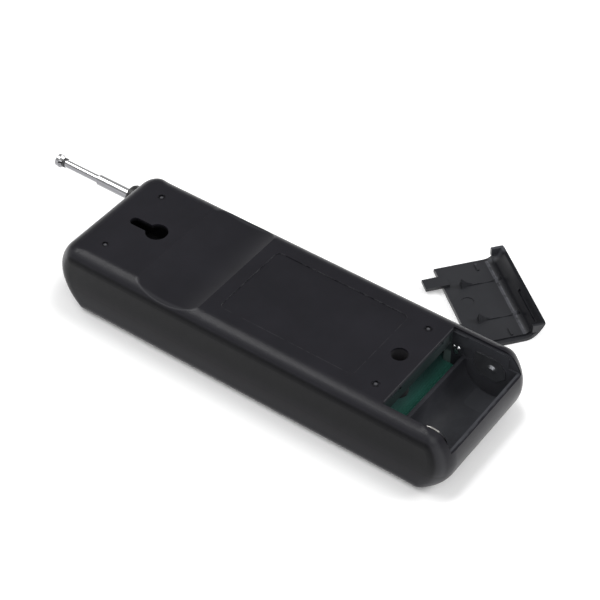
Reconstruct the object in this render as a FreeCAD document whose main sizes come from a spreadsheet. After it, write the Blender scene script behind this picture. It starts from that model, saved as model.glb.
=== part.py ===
"""Handheld frequency counter, lying on its front face, with its battery door taken off.

Frame: millimetres, +Z up out of the back panel, +Y towards the antenna end, and the origin on the
front face, midway between the long sides and the two ends.
"""
import FreeCAD, Part
import os
import Sketcher

doc = FreeCAD.newDocument("FrequencyCounter")
sheet = doc.addObject("Spreadsheet::Sheet", "Sizes")

SIZES = [
    # Case, measured over its outside
    ("half_width", 33.8), ("half_length", 105.0), ("case_height", 34.6), ("wall", 2.0),
    ("parting_height", 13.0), ("back_end_radius", 19.5), ("back_end_drop", 15.4),
    ("front_end_radius", 22.0), ("front_end_height", 19.5), ("corner_radius", 9.0),
    ("back_edge_radius", 7.0), ("front_edge_radius", 5.2), ("lip_height", 1.2),
    ("lip_thickness", 0.95), ("fit_gap", 0.1),
    # Features of the back
    ("trough_low", 26.2), ("trough_high", 60.2), ("trough_depth", 3.0), ("trough_ramp", 7.0),
    ("label_half_width", 21.5), ("label_low", -50.3), ("label_high", 19.5), ("label_depth", 0.35),
    ("label_radius", 2.5), ("keyhole_inset", 33.4), ("keyhole_radius", 5.3), ("keyhole_slot", 12.5),
    ("keyhole_slot_radius", 2.45), ("hanger_half_width", 7.0), ("hanger_depth", 9.0),
    ("hanger_margin", 1.6), ("mark_spacing", 20.0), ("mark_inset_top", 20.0),
    ("mark_inset_bottom", 44.0), ("mark_radius", 1.5), ("mark_pip_radius", 0.6),
    ("mark_depth", 0.35),
    # Battery bay: one round cell lies across the case
    ("cell_radius", 13.2), ("cell_inset", 15.5), ("cell_drop", 15.8), ("bay_rail", 6.8),
    ("tray_wall", 1.2), ("bay_side_wall", 1.6), ("divider_drop", 14.1), ("divider_thickness", 1.7),
    ("bay_mouth_inset", 35.6), ("bay_side_inset", 39.5), ("mouth_rail", 7.4), ("rim_drop", 8.7),
    ("seat_rail", 6.2), ("seat_depth", 1.8), ("cheek_inset", 7.8), ("ledge_width", 1.0),
    ("ledge_depth", 1.6), ("skirt_back", 0.4), ("skirt_thickness", 1.4), ("skirt_drop", 9.1),
    ("skirt_slot_gap", 0.3),
    # Battery door
    ("door_gap", 0.2), ("door_skin", 1.6), ("door_plate", 2.4), ("door_plate_rail", 8.6),
    ("door_plate_end", 9.9), ("slope_run", 2.2), ("slope_rise", 1.1), ("slope_back_run", 0.5),
    ("tongue_inner", 13.0), ("tongue_outer", 19.5), ("tongue_reach", 8.8),
    ("tongue_root", 2.9), ("tongue_drop", 2.3), ("tongue_thickness", 1.7),
    ("rib_offset", 11.8), ("rib_thickness", 1.0), ("rib_start", 7.8), ("rib_length", 19.2),
    ("rib_height", 0.5), ("inner_foot_height", 5.0), ("inner_foot_length", 6.0),
    ("inner_foot_half", 2.2), ("outer_foot_height", 2.8), ("outer_foot_length", 5.0),
    ("outer_foot_half", 2.5), ("foot_sink", 1.1), ("stub_inner", 20.0), ("stub_outer", 24.4),
    ("stub_offset", 20.0), ("stub_thickness", 1.1), ("stub_height", 0.6), ("cheek_width", 1.6),
    ("cheek_height", 4.0), ("slot_inner", 1.0), ("slot_outer", 22.0),
    ("slot_radius", 0.8), ("slot_rise", 2.5), ("pip_radius", 3.1), ("pip_depth", 0.3),
    ("pip_side", -1.4), ("pip_offset", 7.5),
    ("door_away_x", 66.8), ("door_away_y", -46.3), ("door_turn", -128.2),
    # Display
    ("window_centre", 48.0), ("window_half_width", 25.0), ("window_half_height", 12.0),
    ("lens_margin", 3.0), ("lens_recess", 0.3), ("lens_thickness", 1.0), ("lens_radius", 2.5),
    ("glass_half_width", 27.0), ("glass_half_height", 16.0), ("glass_thickness", 2.2),
    ("bezel_thickness", 1.5), ("bezel_gap", 0.1), ("strip_half_width", 25.0), ("strip_width", 2.0),
    ("strip_inset", 0.6), ("light_half_width", 25.5), ("light_half_height", 12.6),
    ("light_thickness", 3.8), ("light_post_radius", 1.5),
    # Main board and its fixings
    ("board_bottom", 11.0), ("board_thickness", 1.6), ("board_gap", 1.5), ("board_top_inset", 8.0),
    ("board_low_inset", 31.4), ("board_radius", 4.0), ("boss_rail", 7.3), ("boss_top_inset", 17.0),
    ("boss_low", -45.0), ("boss_radius", 3.0), ("boss_hole_radius", 0.9), ("board_hole_radius", 1.2),
    ("small_head_radius", 2.2), ("small_head_height", 1.4), ("small_shank_radius", 0.85),
    ("small_shank_length", 6.5), ("cross_slot_width", 0.6), ("cross_slot_depth", 0.7),
    # Case screw
    ("screw_inset", 45.4), ("screw_bore_radius", 3.85), ("screw_tube_radius", 4.8),
    ("screw_seat", 18.0), ("screw_hole_radius", 1.6), ("screw_head_radius", 2.9),
    ("screw_head_height", 2.2), ("screw_shank_radius", 1.45), ("screw_tip", 5.0),
    ("screw_boss_radius", 3.6), ("screw_boss_hole_radius", 1.5),
    # Keys and their switches
    ("key_offset", 12.5), ("key_row_high", 12.0), ("key_row_low", -8.0), ("key_half_width", 9.0),
    ("key_half_height", 4.5), ("key_radius", 2.0), ("key_gap", 0.3), ("key_recess", 0.5),
    ("key_flange", 1.0), ("key_flange_height", 1.2), ("key_flange_gap", 0.2),
    ("key_stem_radius", 2.0), ("key_stem_top", 6.0), ("switch_half", 3.0), ("switch_height", 3.5),
    ("plunger_radius", 1.75), ("plunger_length", 2.9), ("plunger_gap", 0.08),
    ("plunger_room", 3.9),
    # Gate lamp
    ("lamp_row", 24.0), ("lamp_radius", 1.5), ("lamp_gap", 0.1), ("lamp_recess", 0.5),
    ("lamp_flange_radius", 1.9), ("lamp_flange_height", 1.0), ("lamp_top", 5.5),
    ("lamp_lead", 0.5), ("lamp_lead_offset", 1.0),
    # Antenna: each section slides in the one outside it
    ("antenna_rail", 8.4), ("antenna_height", 20.0), ("collar_radius", 5.7), ("collar_reach", 3.4),
    ("collar_lip", 1.0), ("collar_flange_radius", 6.1), ("collar_flange", 2.0),
    ("collar_boss_radius", 7.6), ("collar_boss_length", 5.2), ("sleeve_radius", 3.5),
    ("sleeve_base", 10.5), ("section_one_radius", 2.75), ("section_two_radius", 2.0),
    ("section_three_radius", 1.45), ("rod_radius", 0.95), ("slide_gap", 0.06),
    ("section_length", 92.0), ("section_one_out", 22.9), ("section_two_out", 21.1),
    ("ring_radius", 2.35), ("ring_length", 1.2), ("section_step", 0.2), ("rod_length", 90.5),
    ("button_radius", 3.3), ("button_length", 4.1), ("button_edge", 1.1),
    # Antenna bracket
    ("bracket_half_width", 4.0), ("bracket_thickness", 1.6), ("bracket_foot", 12.0),
    ("bracket_top", 24.0), ("spigot_length", 3.5), ("spigot_gap", 0.1), ("bracket_screw_back", 7.0),
    # Cell contacts and leads
    ("contact_sheet", 0.5), ("contact_rise", 2.4), ("contact_half_height", 6.2),
    ("contact_inner", 8.6), ("contact_outer", 6.8), ("contact_corner", 4.0), ("dimple_radius", 2.6),
    ("dimple_height", 1.0), ("post_radius", 1.2), ("strap_sheet", 0.8), ("strap_width", 3.0),
    ("strap_rise", 3.6), ("strap_past_divider", 3.6), ("tab_width", 1.8), ("tab_reach", 0.7),
    ("notch_radius", 3.2), ("notch_rise", 4.6), ("notch_back", 0.9), ("notch_depth", 0.6),
    ("spring_radius", 8.6), ("spring_cone", -12.0), ("spring_pitch", 2.2), ("spring_length", 6.0),
    ("spring_wire", 0.5), ("spring_plate_radius", 9.4), ("lead_radius", 0.7), ("lead_bend", 4.0),
    ("lead_reach", 12.0),
    # Parts on the board
    ("chip_side", 12.0), ("chip_height", 1.5), ("chip_stand", 0.15), ("chip_pin_reach", 1.4),
    ("chip_pin_width", 0.4), ("chip_pin_pitch", 0.8), ("chip_pin_thickness", 0.3),
    ("chip_x", -9.0), ("chip_y", 10.0), ("small_chip_length", 5.0), ("small_chip_width", 4.0),
    ("small_chip_pitch", 1.27), ("small_chip_x", -8.0), ("small_chip_y", -28.0),
    ("can_x", -13.0), ("can_inset", 30.0), ("can_half_width", 12.0), ("can_half_height", 9.0),
    ("can_height", 4.0), ("can_wall", 0.4), ("can_vent_radius", 0.7), ("can_vent_pitch", 4.0),
    ("crystal_x", 8.0), ("crystal_y", 30.0), ("crystal_half_length", 5.6), ("crystal_radius", 2.3),
    ("crystal_height", 3.6), ("cap_x", -20.0), ("big_cap_y", -22.0), ("big_cap_radius", 4.0),
    ("big_cap_height", 9.0), ("small_cap_y", -10.0), ("small_cap_radius", 2.5),
    ("small_cap_height", 6.0), ("cap_edge", 0.5), ("coil_x", 9.0), ("coil_y", -28.0),
    ("coil_radius", 4.2), ("coil_core_radius", 3.2), ("coil_height", 4.4), ("coil_flange", 0.9),
    ("trimmer_x", 14.0), ("trimmer_y", 44.0), ("trimmer_radius", 3.0), ("trimmer_height", 2.4),
    ("trimmer_slot", 0.7),
]

for index, (alias, value) in enumerate(SIZES, start=1):
    sheet.set(f"A{index}", alias)
    sheet.set(f"B{index}", str(value))
    sheet.setAlias(f"B{index}", alias)
doc.recompute()


def of(text):
    """Turn bare size names in a formula into references to the sheet."""
    words = []
    word = ""
    for letter in text + " ":
        if letter.isalnum() or letter in "_.":
            word += letter
        else:
            words.append("Sizes." + word if word in ALIASES else word)
            words.append(letter)
            word = ""
    return "".join(words).strip()


ALIASES = {alias for alias, value in SIZES}


def number(text):
    """The present value of a formula over the sheet."""
    return float(sheet.evalExpression(of(text)))


def bind(item, name, text):
    item.setExpression(name, of(text))


def minus(text):
    return f"-({text})"


# How a rib's foot falls away: shares of its length, height and width
FOOT_STEPS = ((0.0, 1.0, 1.0), (0.45, 0.42, 0.6), (1.0, 0.1, 0.25))

# Places that several pieces share
PARTING_END = ("(half_length - back_end_radius + sqrt(back_end_radius ^ 2"
               " - (parting_height - case_height + back_end_drop) ^ 2))")
FRONT_END_Y = (f"{PARTING_END} - sqrt(front_end_radius ^ 2"
               " - (parting_height - front_end_height) ^ 2)")
BACK = "case_height"
CEILING = "case_height - wall"
BAY = "half_width - bay_rail"
BAY_OUT = "half_width - bay_rail + bay_side_wall"
MOUTH = "half_width - mouth_rail"
SEAT = "half_width - seat_rail"
CELL_Y = "cell_inset - half_length"
CELL_Z = "case_height - cell_drop"
MOUTH_Y = "bay_mouth_inset - half_length"
RIM = "case_height - rim_drop"
DIVIDER_Y = "cell_inset - half_length + cell_radius"
SCREW_Y = "screw_inset - half_length"
KEYHOLE_Y = "half_length - keyhole_inset"
ANTENNA_X = "half_width - antenna_rail"
BOSS_X = "half_width - boss_rail"
BOSS_Y = "half_length - boss_top_inset"
BOARD_TOP = "board_bottom + board_thickness"
COLLAR_FACE = "half_length + collar_reach"
BRACKET_SCREW_Y = "sleeve_base - bracket_screw_back"
DOOR_INNER = "bay_mouth_inset - half_length - door_gap"
SLOT_Y = ("back_end_radius - half_length - sqrt((back_end_radius - door_skin) ^ 2"
          " - (slot_rise - rim_drop + back_end_drop) ^ 2)")
STRAP_Z = "case_height - cell_drop + strap_rise"
STRAP_END = "cell_inset - half_length + cell_radius + divider_thickness + strap_past_divider"
ABOVE = "case_height + 5"
BEYOND = "-(half_length + 5)"


# Primitives and booleans
def box(label, low_x, high_x, low_y, high_y, low_z, high_z):
    item = doc.addObject("Part::Box", label)
    bind(item, "Length", f"({high_x}) - ({low_x})")
    bind(item, "Width", f"({high_y}) - ({low_y})")
    bind(item, "Height", f"({high_z}) - ({low_z})")
    bind(item, "Placement.Base.x", low_x)
    bind(item, "Placement.Base.y", low_y)
    bind(item, "Placement.Base.z", low_z)
    return item


TURNS = {
    "x": FreeCAD.Rotation(FreeCAD.Vector(0, 1, 0), 90),
    "y": FreeCAD.Rotation(FreeCAD.Vector(1, 0, 0), -90),
    "z": FreeCAD.Rotation(),
}


def place(item, axis, x, y, z):
    """Turn an item's own +Z to the named axis, and put its base at the point."""
    item.Placement = FreeCAD.Placement(FreeCAD.Vector(), TURNS[axis])
    bind(item, "Placement.Base.x", x)
    bind(item, "Placement.Base.y", y)
    bind(item, "Placement.Base.z", z)


def rod(label, axis, x, y, z, radius, length):
    """A cylinder that starts at the point and runs along the positive axis."""
    item = doc.addObject("Part::Cylinder", label)
    bind(item, "Radius", radius)
    bind(item, "Height", length)
    place(item, axis, x, y, z)
    return item


def cone(label, axis, x, y, z, radius, far_radius, length):
    item = doc.addObject("Part::Cone", label)
    bind(item, "Radius1", radius)
    bind(item, "Radius2", far_radius)
    bind(item, "Height", length)
    place(item, axis, x, y, z)
    return item


def fuse(label, *items):
    item = doc.addObject("Part::MultiFuse", label)
    item.Shapes = list(items)
    item.Refine = True
    return item


def common(label, first, second):
    item = doc.addObject("Part::Common", label)
    item.Base = first
    item.Tool = second
    return item


def cut(label, base, *tools):
    item = doc.addObject("Part::Cut", label)
    item.Base = base
    item.Tool = tools[0] if len(tools) == 1 else fuse(label + "_tools", *tools)
    return item


# Sketches and bodies
def new_body(label):
    return doc.addObject("PartDesign::Body", label)


def sketch(body, plane, offset):
    """A sketch on one of the body's own origin planes, moved along the plane's normal."""
    item = body.newObject("Sketcher::SketchObject", body.Name + "_outline")
    support = next(f for f in body.Origin.OriginFeatures if f.Role == plane)
    item.AttachmentSupport = [(support, "")]
    item.MapMode = "FlatFace"
    bind(item, "AttachmentOffset.Base.z", offset)
    return item


def dimension(item, kind, places, text):
    """Add a dimension whose value follows the sheet."""
    index = item.addConstraint(Sketcher.Constraint(kind, *places, number(text)))
    bind(item, f"Constraints[{index}]", text)


def pin_point(item, geometry, point, x, y):
    """Fix a vertex's distances from the sketch's origin."""
    dimension(item, "DistanceX", (-1, 1, geometry, point), x)
    dimension(item, "DistanceY", (-1, 1, geometry, point), y)


def draw_circle(item, x, y, radius):
    centre = FreeCAD.Vector(number(x), number(y), 0)
    index = item.addGeometry(Part.Circle(centre, FreeCAD.Vector(0, 0, 1), number(radius)))
    dimension(item, "Radius", (index,), radius)
    pin_point(item, index, 3, x, y)


def draw_rounded(item, low_x, high_x, low_y, high_y, radius):
    """A rectangle with four equal rounded corners, drawn counter-clockwise."""
    x0, x1, y0, y1, r = (number(text) for text in (low_x, high_x, low_y, high_y, radius))
    up = FreeCAD.Vector(0, 0, 1)
    corners = [(x1 - r, y0 + r), (x1 - r, y1 - r), (x0 + r, y1 - r), (x0 + r, y0 + r)]
    ends = [((x0 + r, y0), (x1 - r, y0)), ((x1, y0 + r), (x1, y1 - r)),
            ((x1 - r, y1), (x0 + r, y1)), ((x0, y1 - r), (x0, y0 + r))]
    quarter = 1.5707963267948966
    lines = []
    arcs = []
    for side, (start, end) in enumerate(ends):
        line = Part.LineSegment(FreeCAD.Vector(*start, 0), FreeCAD.Vector(*end, 0))
        lines.append(item.addGeometry(line))
        whole = Part.Circle(FreeCAD.Vector(*corners[side], 0), up, r)
        first = (side - 1) * quarter
        arcs.append(item.addGeometry(Part.ArcOfCircle(whole, first, first + quarter)))
    for side in range(4):
        item.addConstraint(Sketcher.Constraint("Tangent", lines[side], 2, arcs[side], 1))
        item.addConstraint(Sketcher.Constraint("Tangent", arcs[side], 2, lines[(side + 1) % 4], 1))
        item.addConstraint(Sketcher.Constraint(("Horizontal", "Vertical")[side % 2], lines[side]))
        if side:
            item.addConstraint(Sketcher.Constraint("Equal", arcs[0], arcs[side]))
    dimension(item, "Radius", (arcs[0],), radius)
    dimension(item, "DistanceX", (-1, 1, lines[1], 1), high_x)
    dimension(item, "DistanceX", (-1, 1, lines[3], 1), low_x)
    dimension(item, "DistanceY", (-1, 1, lines[0], 1), low_y)
    dimension(item, "DistanceY", (-1, 1, lines[2], 1), high_y)


def draw_polygon(item, points):
    """A closed outline of straight lines through the points."""
    spots = [FreeCAD.Vector(number(x), number(y), 0) for x, y in points]
    lines = []
    for index, spot in enumerate(spots):
        lines.append(item.addGeometry(Part.LineSegment(spot, spots[(index + 1) % len(spots)])))
    for index, line in enumerate(lines):
        following = lines[(index + 1) % len(lines)]
        item.addConstraint(Sketcher.Constraint("Coincident", line, 2, following, 1))
        pin_point(item, line, 1, *points[index])


def pad(body, profile, length, backwards=False):
    item = body.newObject("PartDesign::Pad", body.Name + "_pad")
    item.Profile = profile
    item.Reversed = backwards
    bind(item, "Length", length)
    return item


def slab(label, low_x, high_x, low_y, high_y, radius, low_z, high_z):
    """A flat plate with rounded corners."""
    body = new_body(label)
    profile = sketch(body, "XY_Plane", low_z)
    draw_rounded(profile, low_x, high_x, low_y, high_y, radius)
    pad(body, profile, f"({high_z}) - ({low_z})")
    return body


def frame_ring(label, half_x, half_y, radius, thickness, low_z, high_z):
    """An upright ring that follows a rounded rectangle, centred on the origin."""
    body = new_body(label)
    profile = sketch(body, "XY_Plane", low_z)
    draw_rounded(profile, minus(half_x), half_x, minus(half_y), half_y, radius)
    inner = [f"{half_x} - ({thickness})", f"{half_y} - ({thickness})"]
    draw_rounded(profile, minus(inner[0]), inner[0], minus(inner[1]), inner[1],
                 f"{radius} - ({thickness})")
    pad(body, profile, f"({high_z}) - ({low_z})")
    return body


SECTIONS = 5


def shell(label, inset, centre_y, centre_z, end_radius, low_z, high_z, face_z, edge_radius):
    """A closed form with bulging ends, rounded corners, and rounded edges around one flat face."""
    half_x = f"(half_width - ({inset}))"
    sections = []
    for index in range(SECTIONS):
        level = f"({low_z} + ({high_z} - ({low_z})) * {index} / {SECTIONS - 1})"
        half_y = (f"({centre_y} + sqrt(({end_radius} - ({inset})) ^ 2"
                  f" - ({level} - ({centre_z})) ^ 2))")
        section = doc.addObject("Sketcher::SketchObject", f"{label}_section_{index}")
        bind(section, "Placement.Base.z", level)
        draw_rounded(section, minus(half_x), half_x, minus(half_y), half_y,
                     f"corner_radius - ({inset})")
        sections.append(section)
    loft = doc.addObject("Part::Loft", label + "_loft")
    loft.Sections = sections
    loft.Solid = True
    doc.recompute()
    rim = [index for index, edge in enumerate(loft.Shape.Edges, start=1)
           if all(abs(vertex.Z - number(face_z)) < 1e-4 for vertex in edge.Vertexes)]
    rounding = doc.addObject("Part::Fillet", label)
    rounding.Base = loft
    radius = number(f"{edge_radius} - ({inset})")
    rounding.Edges = [(index, radius, radius) for index in rim]
    return rounding


def back_shell(label, inset):
    top = f"case_height - ({inset})"
    return shell(label, inset, "half_length - back_end_radius", "case_height - back_end_drop",
                 "back_end_radius", "parting_height", top, top, "back_edge_radius")


def front_shell(label, inset):
    return shell(label, inset, FRONT_END_Y, "front_end_height", "front_end_radius", inset,
                 "parting_height", inset, "front_edge_radius")


def keyed_head(label, head, x, y, top):
    """Cut a cross recess into a screw's head, whose top is at the given height."""
    arms = []
    for name, half_x, half_y in (("across", "1.5", "0.5"), ("along", "0.5", "1.5")):
        arms.append(box(f"{label}_{name}", f"{x} - cross_slot_width * {half_x}",
                        f"{x} + cross_slot_width * {half_x}", f"{y} - cross_slot_width * {half_y}",
                        f"{y} + cross_slot_width * {half_y}", f"{top} - cross_slot_depth",
                        f"{top} + 1"))
    return cut(label, head, *arms)


def small_screw(label, x, y, seat):
    """A pan-head screw driven down through the board into a boss of the front case."""
    head = rod(label + "_head", "z", x, y, seat, "small_head_radius", "small_head_height")
    shank = rod(label + "_shank", "z", x, y, f"{seat} - small_shank_length", "small_shank_radius",
                "small_shank_length")
    return keyed_head(label, fuse(label + "_blank", head, shank), x, y,
                      f"{seat} + small_head_height")


def bent_lead(label, x, start_y, end_y, start_z, end_z):
    """A wire that leaves along -Y or +Y and turns down to the board in one round bend."""
    body = new_body(label)
    sign = 1 if number(end_y) > number(start_y) else -1
    path = sketch(body, "YZ_Plane", x)
    bend = number("lead_bend")
    y0, y1, z0, z1 = (number(text) for text in (start_y, end_y, start_z, end_z))
    bend_y = y1 - sign * bend
    along = path.addGeometry(Part.LineSegment(FreeCAD.Vector(y0, z0, 0),
                                              FreeCAD.Vector(bend_y, z0, 0)))
    circle = Part.Circle(FreeCAD.Vector(bend_y, z0 - bend, 0), FreeCAD.Vector(0, 0, 1), bend)
    quarter = 1.5707963267948966
    first = 0.0 if sign > 0 else quarter
    arc = path.addGeometry(Part.ArcOfCircle(circle, first, first + quarter))
    down = path.addGeometry(Part.LineSegment(FreeCAD.Vector(y1, z0 - bend, 0),
                                             FreeCAD.Vector(y1, z1, 0)))
    top, side = (2, 1) if sign > 0 else (1, 2)
    path.addConstraint(Sketcher.Constraint("Tangent", along, 2, arc, top))
    path.addConstraint(Sketcher.Constraint("Tangent", arc, side, down, 1))
    path.addConstraint(Sketcher.Constraint("Horizontal", along))
    path.addConstraint(Sketcher.Constraint("Vertical", down))
    dimension(path, "Radius", (arc,), "lead_bend")
    pin_point(path, along, 1, start_y, start_z)
    pin_point(path, down, 2, end_y, end_z)
    profile = sketch(body, "XZ_Plane", minus(start_y))
    draw_circle(profile, x, start_z, "lead_radius")
    doc.recompute()
    wire = body.newObject("PartDesign::AdditivePipe", label + "_wire")
    wire.Profile = profile
    wire.Spine = path
    return body


# Case
def antenna_bore(label, radius):
    return rod(label, "y", ANTENNA_X, "0", "antenna_height", radius, "half_length + 20")


def make_trough():
    """The shallow finger trough across the back, one round hollow."""
    body = new_body("trough")
    profile = sketch(body, "YZ_Plane", "-(half_width + 5)")
    radius = "((trough_high - trough_low) ^ 2 / 4 + trough_depth ^ 2) / (2 * trough_depth)"
    centre = FreeCAD.Vector(number("(trough_low + trough_high) / 2"),
                            number(f"case_height - trough_depth + {radius}"), 0)
    low = FreeCAD.Vector(number("trough_low"), number(BACK), 0)
    high = FreeCAD.Vector(number("trough_high"), number(BACK), 0)
    whole = Part.Circle(centre, FreeCAD.Vector(0, 0, 1), number(radius))
    hollow = profile.addGeometry(Part.ArcOfCircle(whole, whole.parameter(low),
                                                  whole.parameter(high)))
    lid = profile.addGeometry(Part.LineSegment(high, low))
    profile.addConstraint(Sketcher.Constraint("Coincident", hollow, 2, lid, 1))
    profile.addConstraint(Sketcher.Constraint("Coincident", lid, 2, hollow, 1))
    pin_point(profile, hollow, 1, "trough_low", BACK)
    pin_point(profile, hollow, 2, "trough_high", BACK)
    dimension(profile, "Radius", (hollow,), radius)
    pad(body, profile, "2 * (half_width + 5)")
    return body


def make_trough_backing():
    """Thickens the back panel under the trough."""
    body = new_body("trough_backing")
    half = "(half_width - wall / 2)"
    profile = sketch(body, "YZ_Plane", minus(half))
    low_z = "case_height - trough_depth - wall"
    draw_polygon(profile, [("trough_low", "case_height - wall + 0.1"),
                           ("trough_low + trough_ramp", low_z),
                           ("trough_high - trough_ramp", low_z),
                           ("trough_high", "case_height - wall + 0.1")])
    pad(body, profile, f"2 * {half}")
    return common("trough_floor", body, back_shell("floor_clip", "wall / 4"))


def bay_space():
    """What is hollow inside the battery bay."""
    half = BAY
    span = f"2 * ({BAY})"
    cell = rod("cell_hollow", "x", minus(half), CELL_Y, CELL_Z, "cell_radius", span)
    upper = box("bay_upper", minus(half), half, f"{CELL_Y} - cell_radius", DIVIDER_Y, CELL_Z,
                f"{RIM} - ledge_depth")
    above = box("bay_above_ledge", minus(half), half, f"{CELL_Y} - cell_radius + ledge_width",
                DIVIDER_Y, CELL_Z, f"{RIM} + 20")
    over = box("bay_over_divider", minus(half), half, f"{DIVIDER_Y} - 1",
               f"{DIVIDER_Y} + divider_thickness + 1", "case_height - divider_drop", CEILING)
    inner = box("bay_board_window", minus(half), half, f"{DIVIDER_Y} + divider_thickness",
                "bay_side_inset - half_length + fit_gap", "0", CEILING)
    return [cell, upper, above, over, inner]


def make_tray(back_form):
    """The moulded bay: a cradle for the cell, its side walls and the divider."""
    half = BAY_OUT
    outer = rod("tray_cradle", "x", minus(half), CELL_Y, CELL_Z, "cell_radius + tray_wall",
                f"2 * ({BAY_OUT})")
    upper = box("tray_upper", minus(half), half, f"{CELL_Y} - cell_radius - tray_wall",
                f"{DIVIDER_Y} + divider_thickness", CELL_Z, CEILING)
    sides = box("tray_sides", minus(half), half, f"{DIVIDER_Y} + divider_thickness - 1",
                "bay_side_inset - half_length", f"{BOARD_TOP} + fit_gap", CEILING)
    divider = box("tray_divider", minus(half), half, DIVIDER_Y,
                  f"{DIVIDER_Y} + divider_thickness", f"{BOARD_TOP} + fit_gap", CELL_Z)
    solid = fuse("tray_solid", outer, upper, sides, divider)
    below = box("tray_below", minus(half), half, f"{CELL_Y} - 2 * cell_radius", "0", "0",
                "parting_height + 0.5")
    room = fuse("tray_room", back_form, below)
    return common("tray", solid, room)


def make_door_mouth():
    """The opening that the battery door covers, with its seat along the rails."""
    mouth = box("mouth", minus(MOUTH), MOUTH, BEYOND, MOUTH_Y, RIM, ABOVE)
    seat_box = box("seat_box", minus(SEAT), SEAT, BEYOND, MOUTH_Y, RIM, ABOVE)
    seat = cut("seat", seat_box, back_shell("seat_form", "seat_depth"))
    ends = box("cheek_room", minus(SEAT), SEAT, BEYOND, "cheek_inset - half_length", RIM,
               ABOVE)
    return [mouth, seat, ends]


def make_skirt():
    """A rib that hangs under the panel's edge, with slots for the door's tongues."""
    half = f"{BAY} + bay_side_wall / 2"
    low_y = f"{MOUTH_Y} + skirt_back"
    rib = box("skirt_rib", minus(half), half, low_y, f"{low_y} + skirt_thickness",
              "case_height - skirt_drop", f"{CEILING} + wall / 2")
    slots = []
    for side, near, far in ((-1, "tongue_outer", "tongue_inner"), (1, "tongue_inner", "tongue_outer")):
        slots.append(box(f"skirt_slot_{side + 1}", f"{side} * {near} - skirt_slot_gap",
                         f"{side} * {far} + skirt_slot_gap", f"{low_y} - 1",
                         f"{low_y} + skirt_thickness + 1",
                         "case_height - tongue_drop - tongue_thickness - skirt_slot_gap", CEILING))
    return cut("skirt", rib, *slots)


def contact_outline(grow):
    """The plate contact's outline in Y and Z: a rectangle with its four corners taken off."""
    low_y = f"{CELL_Y} - contact_outer - ({grow})"
    high_y = f"{CELL_Y} + contact_inner + {grow}"
    middle = f"{CELL_Z} + contact_rise"
    low_z = f"{middle} - contact_half_height - ({grow})"
    high_z = f"{middle} + contact_half_height + {grow}"
    return [(f"{low_y} + contact_corner", low_z), (f"{high_y} - contact_corner", low_z),
            (high_y, f"{low_z} + contact_corner"), (high_y, f"{high_z} - contact_corner / 4"),
            (f"{high_y} - contact_corner / 4", high_z), (f"{low_y} + contact_corner", high_z),
            (low_y, f"{high_z} - contact_corner"), (low_y, f"{low_z} + contact_corner")]


def contact_plate(label, grow, low_x, high_x):
    body = new_body(label)
    profile = sketch(body, "YZ_Plane", low_x)
    draw_polygon(profile, contact_outline(grow))
    pad(body, profile, f"({high_x}) - ({low_x})")
    return body


def sided(side, near, far):
    """The low and high X of something that lies between two distances from the middle."""
    spots = (f"{side} * ({near})", f"{side} * ({far})")
    return spots if side > 0 else spots[::-1]


def contact_fixing(name, side, gap):
    """What holds a contact: a post through the bay's wall, a strap outside it, and a tab."""
    low_x, high_x = sided(side, BAY, f"{BAY_OUT} + strap_sheet")
    post = rod(f"{name}_post", "x", low_x, CELL_Y, f"{CELL_Z} + contact_rise",
               f"post_radius + {gap}", f"bay_side_wall + strap_sheet")
    low_x, high_x = sided(side, BAY_OUT, f"{BAY_OUT} + strap_sheet")
    strap = box(f"{name}_strap", low_x, high_x, f"{CELL_Y} - strap_width / 2", STRAP_END,
                f"{STRAP_Z} - strap_width / 2", f"{STRAP_Z} + strap_width / 2")
    low_x, high_x = sided(side, f"{BAY} - tab_reach", f"{BAY_OUT} + strap_sheet")
    tab = box(f"{name}_tab", low_x, high_x, f"{STRAP_END} - tab_width - {gap}",
              f"{STRAP_END} + {gap}", f"{STRAP_Z} - strap_width / 2 - {gap}",
              f"{STRAP_Z} + strap_width / 2 + {gap}")
    return [post, strap, tab]


def make_keyhole():
    """Hanging slot: a round hole for the screw's head and a slot for its shank."""
    hole = rod("keyhole_round", "z", "0", KEYHOLE_Y, f"{CEILING} - 1", "keyhole_radius", "wall + 6")
    slot_end = rod("keyhole_end", "z", "0", f"{KEYHOLE_Y} + keyhole_slot", f"{CEILING} - 1",
                   "keyhole_slot_radius", "wall + 6")
    slot = box("keyhole_slot_box", "-keyhole_slot_radius", "keyhole_slot_radius", KEYHOLE_Y,
               f"{KEYHOLE_Y} + keyhole_slot", f"{CEILING} - 1", ABOVE)
    room = box("hanger_room", "-hanger_half_width", "hanger_half_width",
               f"{KEYHOLE_Y} - keyhole_radius - hanger_margin",
               f"{KEYHOLE_Y} + keyhole_slot + keyhole_radius", f"{CEILING} - hanger_depth", CEILING)
    return [hole, slot_end, slot, room]


def make_hanger_box():
    return box("hanger_box", "-(hanger_half_width + hanger_margin)",
               "hanger_half_width + hanger_margin",
               f"{KEYHOLE_Y} - keyhole_radius - 2 * hanger_margin",
               f"{KEYHOLE_Y} + keyhole_slot + keyhole_radius + hanger_margin",
               f"{CEILING} - hanger_depth - hanger_margin", f"{CEILING} + 0.1")


def make_marks():
    """Four small moulding marks near the corners of the back, each a dimple round a pip."""
    marks = []
    for side in (-1, 1):
        for name, place_y in (("top", "half_length - mark_inset_top"),
                              ("low", "mark_inset_bottom - half_length")):
            label = f"mark_{name}_{'left' if side < 0 else 'right'}"
            spot = [f"{side} * mark_spacing", place_y, "case_height - mark_depth"]
            dimple = rod(label + "_dimple", "z", *spot, "mark_radius", "2")
            pip = rod(label + "_pip", "z", *spot, "mark_pip_radius", "mark_depth * 0.7")
            marks.append(cut(label, dimple, pip))
    return marks


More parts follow.
